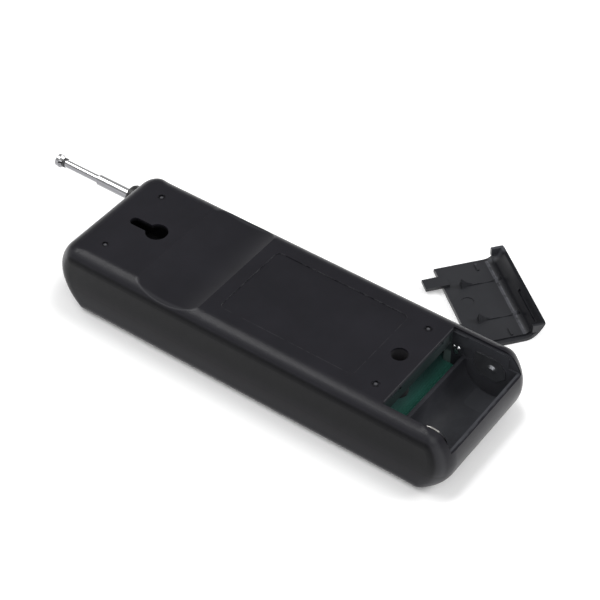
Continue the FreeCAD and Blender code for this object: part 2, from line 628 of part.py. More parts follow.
def lip_ring(label, clearance, inner_clearance, height):
    """The step of the parting line, on the inner half of the wall."""
    half_x = f"(half_width - wall + lip_thickness + {clearance})"
    half_y = f"({PARTING_END} - wall + lip_thickness + {clearance})"
    return frame_ring(label, half_x, half_y,
                      f"(corner_radius - wall + lip_thickness + {clearance})",
                      f"lip_thickness + {clearance} + {inner_clearance}", "parting_height", height)


def make_back_case():
    form = back_shell("back_form", "0")
    clip = back_shell("back_clip", "wall / 4")
    boss = rod("collar_boss_rod", "y", ANTENNA_X, "half_length - wall - collar_boss_length",
               "antenna_height", "collar_boss_radius", "collar_boss_length + wall / 2")
    hollow = cut("back_hollow", form, back_shell("back_cavity", "wall"))
    walls = fuse("back_walls", hollow,
                 common("collar_boss", boss, back_shell("boss_clip", "wall / 4")))
    grooved = cut("back_grooved", walls,
                  lip_ring("lip_groove", "fit_gap", "wall / 4", "parting_height + lip_height + fit_gap"))
    tube = rod("screw_tube", "z", "0", SCREW_Y, BOARD_TOP, "screw_tube_radius",
               f"{CEILING} - ({BOARD_TOP}) + wall / 2")
    whole = fuse("back_whole", grooved, make_trough_backing(), make_tray(clip), make_hanger_box(),
                 tube)
    recess = slab("label_recess", "-label_half_width", "label_half_width", "label_low",
                  "label_high", "label_radius", "case_height - label_depth", ABOVE)
    bore = rod("screw_bore", "z", "0", SCREW_Y, "screw_seat", "screw_bore_radius", "case_height")
    screw_hole = rod("screw_hole", "z", "0", SCREW_Y, "0", "screw_hole_radius", "case_height")
    pocket = contact_plate("contact_pocket", "fit_gap", f"{BAY} - 0.5", f"{BAY} + contact_sheet / 2")
    notch = rod("wire_notch", "x", f"{BAY} - 0.5", f"{DIVIDER_Y} - notch_back",
                f"{CELL_Z} + notch_rise", "notch_radius", "notch_depth + 0.5")
    tools = bay_space() + make_door_mouth() + make_keyhole() + make_marks()
    tools += [recess, bore, screw_hole, pocket, notch, make_trough(),
              antenna_bore("collar_hole", "collar_radius + fit_gap / 2")]
    for name, side in (("plate_room", 1), ("spring_room", -1)):
        post, strap, tab = contact_fixing(name, side, "fit_gap")
        tools += [post, tab]
    return fuse("back_case", cut("back_cut", whole, *tools), make_skirt())


def make_front_case():
    form = front_shell("front_form", "0")
    cavity = front_shell("front_cavity", "wall")
    hollow = cut("front_hollow", form, cavity)
    lip = lip_ring("lip", "0", "-fit_gap / 2", "parting_height + lip_height")
    pieces = [hollow, lip]
    holes = []
    for name, x, y in BOARD_SCREWS:
        pieces.append(rod(f"boss_{name}", "z", x, y, "wall / 2", "boss_radius",
                          "board_bottom - wall / 2"))
        holes.append(rod(f"boss_hole_{name}", "z", x, y, "wall + 1", "boss_hole_radius",
                         "board_bottom"))
    pieces.append(rod("screw_boss", "z", "0", SCREW_Y, "wall / 2", "screw_boss_radius",
                      "board_bottom - wall / 2"))
    holes.append(rod("screw_boss_hole", "z", "0", SCREW_Y, "wall + 1", "screw_boss_hole_radius",
                     "board_bottom"))
    low = "window_centre - window_half_height"
    high = "window_centre + window_half_height"
    holes.append(slab("window_hole", "-window_half_width", "window_half_width", low, high,
                      "lens_radius / 2", "-1", "wall + 1"))
    holes.append(slab("lens_seat", "-(window_half_width + lens_margin + fit_gap)",
                      "window_half_width + lens_margin + fit_gap", f"{low} - lens_margin - fit_gap",
                      f"{high} + lens_margin + fit_gap", "lens_radius", "-1",
                      "lens_recess + lens_thickness"))
    for name, x, y in KEYS:
        holes.append(key_slab(f"key_hole_{name}", x, y, "key_gap", "-1", "wall + 1"))
    holes.append(rod("lamp_hole", "z", "0", "lamp_row", "-1", "lamp_radius + lamp_gap", "wall + 2"))
    holes.append(rod("tray_relief", "x", minus(f"{BAY_OUT} + 2 * fit_gap"), CELL_Y, CELL_Z,
                     "cell_radius + tray_wall + 2 * fit_gap", f"2 * ({BAY_OUT} + 2 * fit_gap)"))
    return cut("front_case", fuse("front_whole", *pieces), *holes)


# Battery door
def make_slope():
    """A sloping rib across the door, between its flat plate and its curved lip."""
    body = new_body("door_slope")
    half = "half_width - door_plate_rail"
    profile = sketch(body, "YZ_Plane", minus(half))
    start = "door_plate_end - half_length"
    level = "case_height - door_plate"
    skin = "case_height - door_skin / 2"
    top = f"{start} - slope_run"
    draw_polygon(profile, [(start, skin), (start, level), (top, f"{level} - slope_rise"),
                           (f"{top} - slope_back_run", skin)])
    pad(body, profile, f"2 * ({half})")
    return common("slope", body, back_shell("slope_clip", "door_skin / 2"))


def rib_foot(label, x, start_y, run, height, half):
    """A prop under a rib's end: tall and wide at its start, and fading out along the rib."""
    level = "case_height - door_plate"
    sections = []
    for index, (along, tall, wide) in enumerate(FOOT_STEPS):
        section = doc.addObject("Sketcher::SketchObject", f"{label}_section_{index}")
        section.Placement = FreeCAD.Placement(
            FreeCAD.Vector(), FreeCAD.Rotation(FreeCAD.Vector(1, 0, 0), 90))
        bind(section, "Placement.Base.y", f"{start_y} + ({run}) * {along}")
        base = f"{level} + foot_sink"
        draw_polygon(section, [(f"{x} - {half} * {wide}", base), (f"{x} + {half} * {wide}", base),
                               (x, f"{level} - {height} * {tall}")])
        sections.append(section)
    foot = doc.addObject("Part::Loft", label)
    foot.Sections = sections
    foot.Solid = True
    foot.Ruled = True
    return foot


def make_door_side(name, side):
    """One rib with its two feet, one tongue, one stub and one cheek."""
    inner = "case_height - door_plate"
    rib_y = f"{DOOR_INNER} - rib_start"
    low_x, high_x = sided(side, "rib_offset - rib_thickness / 2", "rib_offset + rib_thickness / 2")
    blank = box(f"rib_blank_{name}", low_x, high_x, f"{rib_y} - rib_length", rib_y,
                f"{inner} - rib_height", f"{inner} + foot_sink")
    cell = rod(f"rib_cell_{name}", "x", f"{low_x} - 1", CELL_Y, CELL_Z, "cell_radius",
               "rib_thickness + 2")
    pieces = [cut(f"rib_{name}", blank, cell)]
    pieces.append(rib_foot(f"inner_foot_{name}", f"{side} * rib_offset", rib_y,
                           "-inner_foot_length", "inner_foot_height", "inner_foot_half"))
    pieces.append(rib_foot(f"outer_foot_{name}", f"{side} * rib_offset", f"{rib_y} - rib_length",
                           "outer_foot_length", "outer_foot_height", "outer_foot_half"))
    low_x, high_x = sided(side, "tongue_inner", "tongue_outer")
    pieces.append(box(f"tongue_{name}", low_x, high_x, f"{DOOR_INNER} - tongue_root",
                      f"{DOOR_INNER} + tongue_reach", "case_height - tongue_drop - tongue_thickness",
                      "case_height - tongue_drop"))
    low_x, high_x = sided(side, "stub_inner", "stub_outer")
    pieces.append(box(f"stub_{name}", low_x, high_x, f"{DOOR_INNER} - stub_offset",
                      f"{DOOR_INNER} - stub_offset + stub_thickness", f"{inner} - stub_height",
                      f"{inner} + door_plate / 4"))
    low_x, high_x = sided(side, f"{SEAT} - door_gap - cheek_width", f"{SEAT} - door_gap")
    cheek = box(f"cheek_box_{name}", low_x, high_x, BEYOND, "cheek_inset - door_gap - half_length",
                f"{RIM} + door_gap", f"{RIM} + door_gap + cheek_height")
    pieces.append(common(f"cheek_{name}", cheek, back_shell(f"cheek_form_{name}", "0")))
    return pieces


def make_battery_door():
    """Built where it closes the bay, then laid beside the case on its outer face."""
    half = f"{SEAT} - door_gap"
    outline = box("door_outline", minus(half), half, BEYOND, DOOR_INNER, f"{RIM} + door_gap",
                  ABOVE)
    skin = cut("door_skin_form", common("door_solid", back_shell("door_form", "0"), outline),
               back_shell("door_hollow", "door_skin"))
    inner = "case_height - door_plate"
    plate_half = "half_width - door_plate_rail"
    plate = box("door_plate_box", minus(plate_half), plate_half, "door_plate_end - half_length",
                DOOR_INNER, inner, "case_height - door_skin / 2")
    slot = rod("door_slot", "x", "slot_inner", SLOT_Y, f"{RIM} + slot_rise", "slot_radius",
               "slot_outer - slot_inner")
    blank = cut("door_blank", fuse("door_shell", skin, plate, make_slope()), slot)
    pieces = [blank] + make_door_side("left", -1) + make_door_side("right", 1)
    pip = rod("door_pip", "z", "pip_side", f"{DOOR_INNER} - pip_offset", f"{inner} - 1", "pip_radius",
              "1 + pip_depth")
    door = cut("battery_door", fuse("door_whole", *pieces), pip)
    turn = "door_turn * 1 deg"
    axis = FreeCAD.Rotation(FreeCAD.Vector(0, 0, 1), number("door_turn") / 2)
    across = axis.multVec(FreeCAD.Vector(1, 0, 0))
    door.Placement = FreeCAD.Placement(FreeCAD.Vector(), FreeCAD.Rotation(across, 180))
    bind(door, "Placement.Base.x", f"door_away_x - sin({turn}) * ({DOOR_INNER})")
    bind(door, "Placement.Base.y", f"door_away_y + cos({turn}) * ({DOOR_INNER})")
    bind(door, "Placement.Base.z", BACK)
    return door


# Display
def make_display():
    low = "window_centre - window_half_height - lens_margin"
    high = "window_centre + window_half_height + lens_margin"
    half = "window_half_width + lens_margin"
    lens = slab("display_window", minus(half), half, low, high, "lens_radius - fit_gap",
                "lens_recess", "lens_recess + lens_thickness")
    glass = box("lcd_glass", "-glass_half_width", "glass_half_width",
                "window_centre - glass_half_height", "window_centre + glass_half_height",
                "wall", "wall + glass_thickness")
    outer_x = "glass_half_width + bezel_gap + bezel_thickness"
    outer_y = "glass_half_height + bezel_gap + bezel_thickness"
    blank = box("bezel_blank", minus(outer_x), outer_x, f"window_centre - ({outer_y})",
                f"window_centre + {outer_y}", "wall", "board_bottom")
    inner_x = "glass_half_width + bezel_gap"
    inner_y = "glass_half_height + bezel_gap"
    hollow = box("bezel_hollow", minus(inner_x), inner_x, f"window_centre - ({inner_y})",
                 f"window_centre + {inner_y}", "0", "board_bottom + 1")
    bezel = cut("lcd_bezel", blank, hollow)
    strips = []
    for name, side in (("upper", 1), ("lower", -1)):
        near = f"window_centre + {side} * (glass_half_height - strip_inset - strip_width)"
        far = f"window_centre + {side} * (glass_half_height - strip_inset)"
        ends = (near, far) if side > 0 else (far, near)
        strips.append(box(f"lcd_strip_{name}", "-strip_half_width", "strip_half_width", *ends,
                          "wall + glass_thickness", "board_bottom"))
    light_plate = box("light_plate", "-light_half_width", "light_half_width",
                      "window_centre - light_half_height", "window_centre + light_half_height",
                      "wall + glass_thickness", "wall + glass_thickness + light_thickness")
    posts = []
    for side_x in (-1, 1):
        for side_y in (-1, 1):
            posts.append(rod(f"light_post_{side_x + 1}{side_y + 1}", "z",
                             f"{side_x} * (light_half_width - 2 * light_post_radius)",
                             f"window_centre + {side_y} * (light_half_height - 2 * light_post_radius)",
                             "wall + glass_thickness + light_thickness - 0.5", "light_post_radius",
                             "board_bottom - wall - glass_thickness - light_thickness + 0.5"))
    light = fuse("lcd_backlight", light_plate, *posts)
    return [lens, glass, bezel, light] + strips


# Board
BOARD_SCREWS = [
    ("top_left", minus(BOSS_X), BOSS_Y), ("top_right", BOSS_X, BOSS_Y),
    ("low_left", minus(BOSS_X), "boss_low"), ("low_right", BOSS_X, "boss_low"),
    ("antenna", ANTENNA_X, BRACKET_SCREW_Y),
]
KEYS = [
    ("one", "-key_offset", "key_row_high"), ("two", "key_offset", "key_row_high"),
    ("three", "-key_offset", "key_row_low"), ("four", "key_offset", "key_row_low"),
]


def make_board():
    half = "half_width - wall - board_gap"
    plate = slab("board_plate", minus(half), half, "board_low_inset - half_length",
                 "half_length - board_top_inset", "board_radius", "board_bottom", BOARD_TOP)
    holes = [rod(f"board_hole_{name}", "z", x, y, "0", "board_hole_radius", "case_height")
             for name, x, y in BOARD_SCREWS]
    holes.append(rod("board_screw_hole", "z", "0", SCREW_Y, "0", "screw_hole_radius", "case_height"))
    return cut("main_board", plate, *holes)


def make_screws():
    screws = []
    for name, x, y in BOARD_SCREWS[:4]:
        screws.append(small_screw(f"board_screw_{name}", x, y, BOARD_TOP))
    screws.append(small_screw("antenna_screw", ANTENNA_X, BRACKET_SCREW_Y,
                              f"{BOARD_TOP} + bracket_thickness"))
    head = rod("case_screw_head", "z", "0", SCREW_Y, "screw_seat", "screw_head_radius",
               "screw_head_height")
    shank = rod("case_screw_shank", "z", "0", SCREW_Y, "screw_tip", "screw_shank_radius",
                "screw_seat - screw_tip")
    screws.append(keyed_head("case_screw", fuse("case_screw_blank", head, shank), "0", SCREW_Y,
                             "screw_seat + screw_head_height"))
    return screws


def key_slab(label, x, y, grow, low_z, high_z):
    return slab(label, f"{x} - key_half_width - ({grow})", f"{x} + key_half_width + {grow}",
                f"{y} - key_half_height - ({grow})", f"{y} + key_half_height + {grow}",
                f"key_radius + {grow}", low_z, high_z)


def make_keys():
    """Each key presses the plunger of its own switch, which stands on the board."""
    pieces = []
    flange_z = "wall + key_flange_gap"
    for name, x, y in KEYS:
        cap = key_slab(f"cap_{name}", x, y, "0", "key_recess", f"{flange_z} + 0.1")
        flange = key_slab(f"flange_{name}", x, y, "key_flange", flange_z,
                          f"{flange_z} + key_flange_height")
        stem = rod(f"stem_{name}", "z", x, y, flange_z, "key_stem_radius",
                   f"key_stem_top - ({flange_z})")
        pieces.append(fuse(f"key_{name}", cap, flange, stem))
        plunger_z = "key_stem_top"
        pieces.append(rod(f"plunger_{name}", "z", x, y, plunger_z, "plunger_radius",
                          "plunger_length"))
        block = box(f"switch_block_{name}", f"{x} - switch_half", f"{x} + switch_half",
                    f"{y} - switch_half", f"{y} + switch_half", "board_bottom - switch_height",
                    "board_bottom")
        room = rod(f"switch_room_{name}", "z", x, y, plunger_z, "plunger_radius + plunger_gap",
                   "plunger_room")
        pieces.append(cut(f"switch_{name}", block, room))
    return pieces


def make_lamp():
    lens = rod("lamp_lens", "z", "0", "lamp_row", "lamp_recess", "lamp_radius",
               "lamp_top - lamp_recess")
    flange = rod("lamp_flange", "z", "0", "lamp_row", "wall", "lamp_flange_radius",
                 "lamp_flange_height")
    leads = [box(f"lamp_lead_{side + 1}", f"{side} * lamp_lead_offset - lamp_lead / 2",
                 f"{side} * lamp_lead_offset + lamp_lead / 2", "lamp_row - lamp_lead / 2",
                 "lamp_row + lamp_lead / 2", "lamp_top - 0.5", "board_bottom")
             for side in (-1, 1)]
    return fuse("gate_lamp", lens, flange, *leads)


# Antenna
def tube(label, start, length, radius, bore):
    outer = rod(label + "_outer", "y", ANTENNA_X, start, "antenna_height", radius, length)
    inner = rod(label + "_inner", "y", ANTENNA_X, f"{start} - 1", "antenna_height", bore,
                f"{length} + 2")
    return cut(label, outer, inner)


def make_antenna():
    end_one = "half_length + section_one_out"
    end_two = f"{end_one} + section_two_out"
    end_three = f"{end_two} + ring_length + section_step"
    sleeve_end = f"{COLLAR_FACE} - collar_lip"
    sleeve = tube("antenna_sleeve", "sleeve_base", f"{sleeve_end} - sleeve_base", "sleeve_radius",
                  "section_one_radius + slide_gap")
    first = tube("antenna_section_one", f"{end_one} - section_length", "section_length",
                 "section_one_radius", "section_two_radius + slide_gap")
    second = tube("antenna_section_two", f"{end_two} - section_length", "section_length",
                  "section_two_radius", "section_three_radius + slide_gap")
    ring = tube("antenna_ring", end_two, "ring_length", "ring_radius",
                "section_three_radius + slide_gap")
    third = tube("antenna_section_three", f"{end_three} - section_length", "section_length",
                 "section_three_radius", "rod_radius + slide_gap")
    tip = f"{end_three} + section_step"
    core = rod("rod_core", "y", ANTENNA_X, f"{tip} - rod_length", "antenna_height", "rod_radius",
               "rod_length + 0.5")
    base = cone("button_base", "y", ANTENNA_X, tip, "antenna_height",
                "button_radius - button_edge", "button_radius", "button_edge")
    middle = rod("button_middle", "y", ANTENNA_X, f"{tip} + button_edge", "antenna_height",
                 "button_radius", "button_length - 2 * button_edge")
    crown = cone("button_crown", "y", ANTENNA_X, f"{tip} + button_length - button_edge",
                 "antenna_height", "button_radius", "button_radius - button_edge", "button_edge")
    last = fuse("antenna_rod", core, base, middle, crown)
    return [sleeve, first, second, ring, third, last]


def make_collar():
    """The black bushing that holds the antenna in the end wall."""
    flange_y = "half_length - wall - collar_boss_length - collar_flange"
    flange = rod("collar_flange_disc", "y", ANTENNA_X, flange_y, "antenna_height",
                 "collar_flange_radius", "collar_flange")
    plug = rod("collar_plug", "y", ANTENNA_X, flange_y, "antenna_height", "collar_radius",
               f"{COLLAR_FACE} - ({flange_y}) - collar_lip")
    crown = cone("collar_crown", "y", ANTENNA_X, f"{COLLAR_FACE} - collar_lip", "antenna_height",
                 "collar_radius", "collar_radius - collar_lip / 2", "collar_lip")
    bore = rod("collar_bore", "y", ANTENNA_X, "0", "antenna_height", "sleeve_radius",
               f"{COLLAR_FACE} - collar_lip")
    mouth = antenna_bore("collar_mouth", "section_one_radius + slide_gap")
    return cut("antenna_collar", fuse("collar_blank", flange, plug, crown), bore, mouth)


def make_bracket():
    """Sheet-metal bracket that earths the sleeve's base to the board."""
    low_x = f"{ANTENNA_X} - bracket_half_width"
    high_x = f"{ANTENNA_X} + bracket_half_width"
    upright = box("bracket_upright", low_x, high_x, "sleeve_base - bracket_thickness",
                  "sleeve_base", BOARD_TOP, "bracket_top")
    foot = box("bracket_foot_plate", low_x, high_x, "sleeve_base - bracket_foot", "sleeve_base",
               BOARD_TOP, f"{BOARD_TOP} + bracket_thickness")
    spigot = rod("bracket_spigot", "y", ANTENNA_X, "sleeve_base - 0.5", "antenna_height",
                 "section_one_radius + slide_gap - spigot_gap", "spigot_length + 0.5")
    hole = rod("bracket_hole", "z", ANTENNA_X, BRACKET_SCREW_Y, "0", "board_hole_radius",
               "case_height")
    return cut("antenna_bracket", fuse("bracket_blank", upright, foot, spigot), hole)


# Cell contacts and leads
def make_plate_contact():
    """Positive contact: a dimpled plate in the bay's wall, held by a strap outside it."""
    plate = contact_plate("contact_sheet_plate", "0", f"{BAY} - contact_sheet / 2",
                          f"{BAY} + contact_sheet / 2")
    dimple = cone("contact_dimple", "x", f"{BAY} - contact_sheet / 2 - dimple_height", CELL_Y,
                  f"{CELL_Z} + contact_rise", "dimple_radius / 2", "dimple_radius",
                  "dimple_height + contact_sheet / 2")
    return fuse("plate_contact", plate, dimple, *contact_fixing("plate", 1, "0"))


def make_spring_contact():
    """Negative contact: a disc on the wall, its strap, and a tapering coil that pushes the cell."""
    wall_x = f"-({BAY})"
    disc = rod("spring_disc", "x", wall_x, CELL_Y, CELL_Z, "spring_plate_radius", "contact_sheet")
    helix = doc.addObject("Part::Helix", "spring_path")
    bind(helix, "Pitch", "spring_pitch")
    bind(helix, "Height", "spring_length")
    bind(helix, "Radius", "spring_radius")
    bind(helix, "Angle", "spring_cone")
    place(helix, "x", f"{wall_x} + contact_sheet + spring_wire * 0.9", CELL_Y, CELL_Z)
    doc.recompute()
    path = helix.Shape.Edges[0]
    section = doc.addObject("Part::Circle", "spring_section")
    bind(section, "Radius", "spring_wire")
    section.Placement = FreeCAD.Placement(
        path.valueAt(path.FirstParameter),
        FreeCAD.Rotation(FreeCAD.Vector(0, 0, 1), path.tangentAt(path.FirstParameter)))
    coil = doc.addObject("Part::Sweep", "spring_coil")
    coil.Sections = [section]
    coil.Spine = (helix, [f"Edge{index}" for index in range(1, len(helix.Shape.Edges) + 1)])
    coil.Solid = True
    coil.Frenet = True
    return fuse("spring_contact", disc, coil, *contact_fixing("spring", -1, "0"))


def make_leads():
    """Each contact's lead drops straight to the board; the antenna's bends down to it."""
    leads = []
    for label, side in (("red_lead", 1), ("black_lead", -1)):
        leads.append(rod(label, "z", f"{side} * ({BAY_OUT} + lead_radius + fit_gap / 2)",
                         f"{STRAP_END} + lead_radius", BOARD_TOP, "lead_radius",
                         f"{STRAP_Z} + strap_width / 2 - ({BOARD_TOP})"))
    aerial_x = f"{ANTENNA_X} - bracket_half_width - lead_radius"
    leads.append(bent_lead("antenna_lead", aerial_x, "sleeve_base", "sleeve_base - lead_reach",
                           "antenna_height", BOARD_TOP))
    return leads


# Parts on the board
def bars(body, profile_rect, direction_role, span, count):
    """A thin bar under a chip, repeated, whose ends show as two rows of pins."""
    profile = sketch(body, "XY_Plane", BOARD_TOP)
    draw_polygon(profile, profile_rect)
    first = pad(body, profile, "chip_pin_thickness")
    doc.recompute()
    pattern = body.newObject("PartDesign::LinearPattern", body.Name + "_row")
    pattern.Originals = [first]
    axis = next(f for f in body.Origin.OriginFeatures if f.Role == direction_role)
    pattern.Direction = (axis, [""])
    bind(pattern, "Length", span)
    pattern.Occurrences = count
    body.Tip = pattern
    doc.recompute()


def rectangle(low_x, high_x, low_y, high_y):
    return [(low_x, low_y), (high_x, low_y), (high_x, high_y), (low_x, high_y)]


def make_chip(label, x, y, half_x, half_y, pitch, rows):
    """A flat chip, with bars below it that stand out as pins."""
    body = new_body(label)
    profile = sketch(body, "XY_Plane", f"{BOARD_TOP} + chip_stand")
    draw_polygon(profile, rectangle(f"{x} - {half_x}", f"{x} + {half_x}", f"{y} - {half_y}",
                                    f"{y} + {half_y}"))
    pad(body, profile, "chip_height")
    doc.recompute()
    for direction, count in rows:
        span = f"{pitch} * {count - 1}"
        thin_low = f"- ({span}) / 2 - chip_pin_width / 2"
        thin_high = f"- ({span}) / 2 + chip_pin_width / 2"
        if direction == "Y_Axis":
            outline = rectangle(f"{x} - {half_x} - chip_pin_reach", f"{x} + {half_x} + chip_pin_reach",
                                f"{y} {thin_low}", f"{y} {thin_high}")
        else:
            outline = rectangle(f"{x} {thin_low}", f"{x} {thin_high}",
                                f"{y} - {half_y} - chip_pin_reach", f"{y} + {half_y} + chip_pin_reach")
        bars(body, outline, direction, span, count)
    return body


def make_parts_on_board():
    chip = make_chip("main_chip", "chip_x", "chip_y", "chip_side / 2", "chip_side / 2",
                     "chip_pin_pitch", [("Y_Axis", 13), ("X_Axis", 13)])
    regulator = make_chip("regulator_chip", "small_chip_x", "small_chip_y", "small_chip_width / 2",
                          "small_chip_length / 2", "small_chip_pitch", [("Y_Axis", 4)])
    can_y = "half_length - can_inset"
    can_blank = box("can_blank", "can_x - can_half_width", "can_x + can_half_width",
                    f"{can_y} - can_half_height", f"{can_y} + can_half_height", BOARD_TOP,
                    f"{BOARD_TOP} + can_height")
    can_hollow = box("can_hollow", "can_x - can_half_width + can_wall",
                     "can_x + can_half_width - can_wall", f"{can_y} - can_half_height + can_wall",
                     f"{can_y} + can_half_height - can_wall", "0",
                     f"{BOARD_TOP} + can_height - can_wall")
    vents = [rod(f"can_vent_{index + 2}", "z", f"can_x + {index} * can_vent_pitch", can_y, "0",
                 "can_vent_radius", "case_height") for index in range(-2, 3)]
    can = cut("shield_can", can_blank, can_hollow, *vents)
    crystal = slab("crystal", "crystal_x - crystal_half_length", "crystal_x + crystal_half_length",
                   "crystal_y - crystal_radius", "crystal_y + crystal_radius",
                   "crystal_radius - 0.05", BOARD_TOP, f"{BOARD_TOP} + crystal_height")
    caps = []
    for label, y, radius, height in (
            ("large_capacitor", "big_cap_y", "big_cap_radius", "big_cap_height"),
            ("small_capacitor", "small_cap_y", "small_cap_radius", "small_cap_height")):
        barrel = rod(label + "_barrel", "z", "cap_x", y, BOARD_TOP, radius, f"{height} - cap_edge")
        crown = cone(label + "_crown", "z", "cap_x", y, f"{BOARD_TOP} + {height} - cap_edge",
                     radius, f"{radius} - cap_edge", "cap_edge")
        caps.append(fuse(label, barrel, crown))
    core = rod("coil_core", "z", "coil_x", "coil_y", BOARD_TOP, "coil_core_radius", "coil_height")
    discs = [rod("coil_low_disc", "z", "coil_x", "coil_y", BOARD_TOP, "coil_radius", "coil_flange"),
             rod("coil_high_disc", "z", "coil_x", "coil_y",
                 f"{BOARD_TOP} + coil_height - coil_flange", "coil_radius", "coil_flange")]
    coil = fuse("power_coil", core, *discs)
    drum = rod("trimmer_drum", "z", "trimmer_x", "trimmer_y", BOARD_TOP, "trimmer_radius",
               "trimmer_height")
    groove = box("trimmer_groove", "trimmer_x - trimmer_radius", "trimmer_x + trimmer_radius",
                 "trimmer_y - trimmer_slot / 2", "trimmer_y + trimmer_slot / 2",
                 f"{BOARD_TOP} + trimmer_height - trimmer_slot", "case_height")
    trimmer = cut("trimmer", drum, groove)
    return [chip, regulator, can, crystal, *caps, coil, trimmer]


nodes = [make_back_case(), make_front_case(), make_battery_door()]
nodes += make_display()
nodes.append(make_board())
nodes += make_screws()
nodes += make_keys()
nodes.append(make_lamp())
nodes += make_antenna()
nodes += [make_collar(), make_bracket(), make_plate_contact(), make_spring_contact()]
nodes += make_leads()
nodes += make_parts_on_board()
doc.recompute()

for item in doc.Objects:
    if {"Invalid", "Error"} & set(item.State):
        raise RuntimeError(f"{item.Label} failed: {item.State}")
for node in nodes:
    if node.Shape.isNull() or not node.Shape.isValid():
        raise RuntimeError(f"{node.Label} has no valid shape")

os.makedirs("parts", exist_ok=True)
for node in nodes:
    node.Shape.exportStep(f"parts/{node.Label}.step")
print(f"{len(nodes)} pieces written")
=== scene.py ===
"""Looks of the handheld frequency counter: studio, camera, materials and fine detail."""
import math
import bmesh
import bpy
from mathutils import Matrix, Vector


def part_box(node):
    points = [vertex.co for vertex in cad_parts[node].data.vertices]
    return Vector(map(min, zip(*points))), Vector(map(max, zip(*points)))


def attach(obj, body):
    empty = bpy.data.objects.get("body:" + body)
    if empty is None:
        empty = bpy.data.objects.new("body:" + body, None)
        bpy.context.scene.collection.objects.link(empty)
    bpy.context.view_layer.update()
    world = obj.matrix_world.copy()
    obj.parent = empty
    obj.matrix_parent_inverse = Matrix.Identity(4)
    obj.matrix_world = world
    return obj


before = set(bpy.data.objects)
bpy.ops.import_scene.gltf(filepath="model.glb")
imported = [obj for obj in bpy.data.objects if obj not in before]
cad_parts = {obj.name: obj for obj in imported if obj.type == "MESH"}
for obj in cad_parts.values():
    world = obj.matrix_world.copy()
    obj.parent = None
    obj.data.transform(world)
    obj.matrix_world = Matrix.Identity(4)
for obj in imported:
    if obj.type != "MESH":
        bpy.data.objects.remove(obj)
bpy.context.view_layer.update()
scene = bpy.context.scene
scene.view_settings.view_transform = "Standard"
MM = 0.001
COLOUR_A, COLOUR_B, MIXED_COLOUR = 6, 7, 2  # the Mix node's colour sockets

# The case's form in millimetres, as its CAD pieces have it. Centres of arcs are (y, z)
HALF_WIDTH = 33.8
HALF_LENGTH = 105.0
CORNER_RADIUS = 9.0
HEIGHT = 34.6
EDGE_RADIUS = 7.0
END_CENTRE = (85.5, 19.2)
END_RADIUS = 19.5
TROUGH_CENTRE = (43.2, 81.27)
TROUGH_RADIUS = 49.67
PARTING_HEIGHT = 13.0
BAY_MOUTH = -69.4
WALL_RIM = -103.0
MARK_X = 20.0
MARK_YS = (85.0, -61.0)
# Rounded rectangles in plan: centre, half size, corner radius
CASE_OUTLINE = ((0.0, 0.0), (HALF_WIDTH, HALF_LENGTH), CORNER_RADIUS)
LABEL_OUTLINE = ((0.0, -15.4), (21.5, 34.9), 2.5)
CRADLE_PATCH_OUTLINE = ((20.8, -88.4), (5.6, 4.8), 1.2)
# The door lies turned on the floor: "reach" runs out to its lip, and "side" runs along the lip
DOOR_COSINE, DOOR_SINE = 0.787, 0.617

# Zones of the materials in millimetres: each step rises from none at its start to full at its end
ZONES = {
    "skin_depth": (("skin", 0.8, 1.1), ("plan", -0.8, -1.1), ("z", 1.2, 1.8)),
    "trough": (("z", 31.0, 31.4), ("y", 23.0, 24.0), ("y", 64.0, 63.0)),
    "bay_deep": (("slant", -83.5, -88.0),),
    "by_tab": (("x", 4.0, 24.0), ("z", 19.0, 22.0)),
    "by_board": (("x", 26.4, 26.8), ("z", 21.0, 19.0)),
    "cavity": (("y", -66.0, -64.5),),
    "far_hollow": (("y", 0.0, 10.0),),
    "past_mouth": (("y", -69.0, -69.3),),
    "shoulder": (("across", 32.6, 33.4), ("z", 2.0, 20.0)),
    "brow": (("across", 29.6, 31.2), ("across", 33.0, 31.4)),
    "label_face": (("z", 33.9, 34.15),),
    "trough_lip": (("across", 27.2, 28.6), ("depth", -0.3, 0.0)),
    "mouth_edge": (("z", 33.6, 34.0), ("across", 27.0, 26.0)),
    "mark_blotch": (("from_mark", 2.3, 1.7), ("z", 33.9, 34.1)),
    "mark_pip": (("from_mark", 0.9, 0.6), ("z", 33.9, 34.1)),
    "wall_rim": (("z", 24.6, 25.2), ("across", 27.5, 26.5)),
    "cradle_patch": (("cradle_patch", 0.3, -0.3), ("z", 12.0, 10.0), ("z", 4.0, 4.5)),
    "door_lip": (("reach", 107.2, 108.4), ("z", 2.4, 3.0), ("side", 28.0, 26.5), ("side", -22.5, -21.0)),
    "door_ridge": (("reach", 105.4, 105.9), ("reach", 107.4, 106.9), ("z", 2.3, 2.45)),
    "door_cheek": (("side", 27.5, 29.0), ("z", 2.4, 3.0)),
    "spring_crown": (("y", -93.4, -92.4), ("y", -86.6, -87.6)),
    "board_covered": (("y", -70.5, -63.5),),
    "floor_away": (("away", 1.5, 14.0),),
    "floor_past_end": (("y", -92.0, -104.0), ("away", 0.0, 5.0)),
}

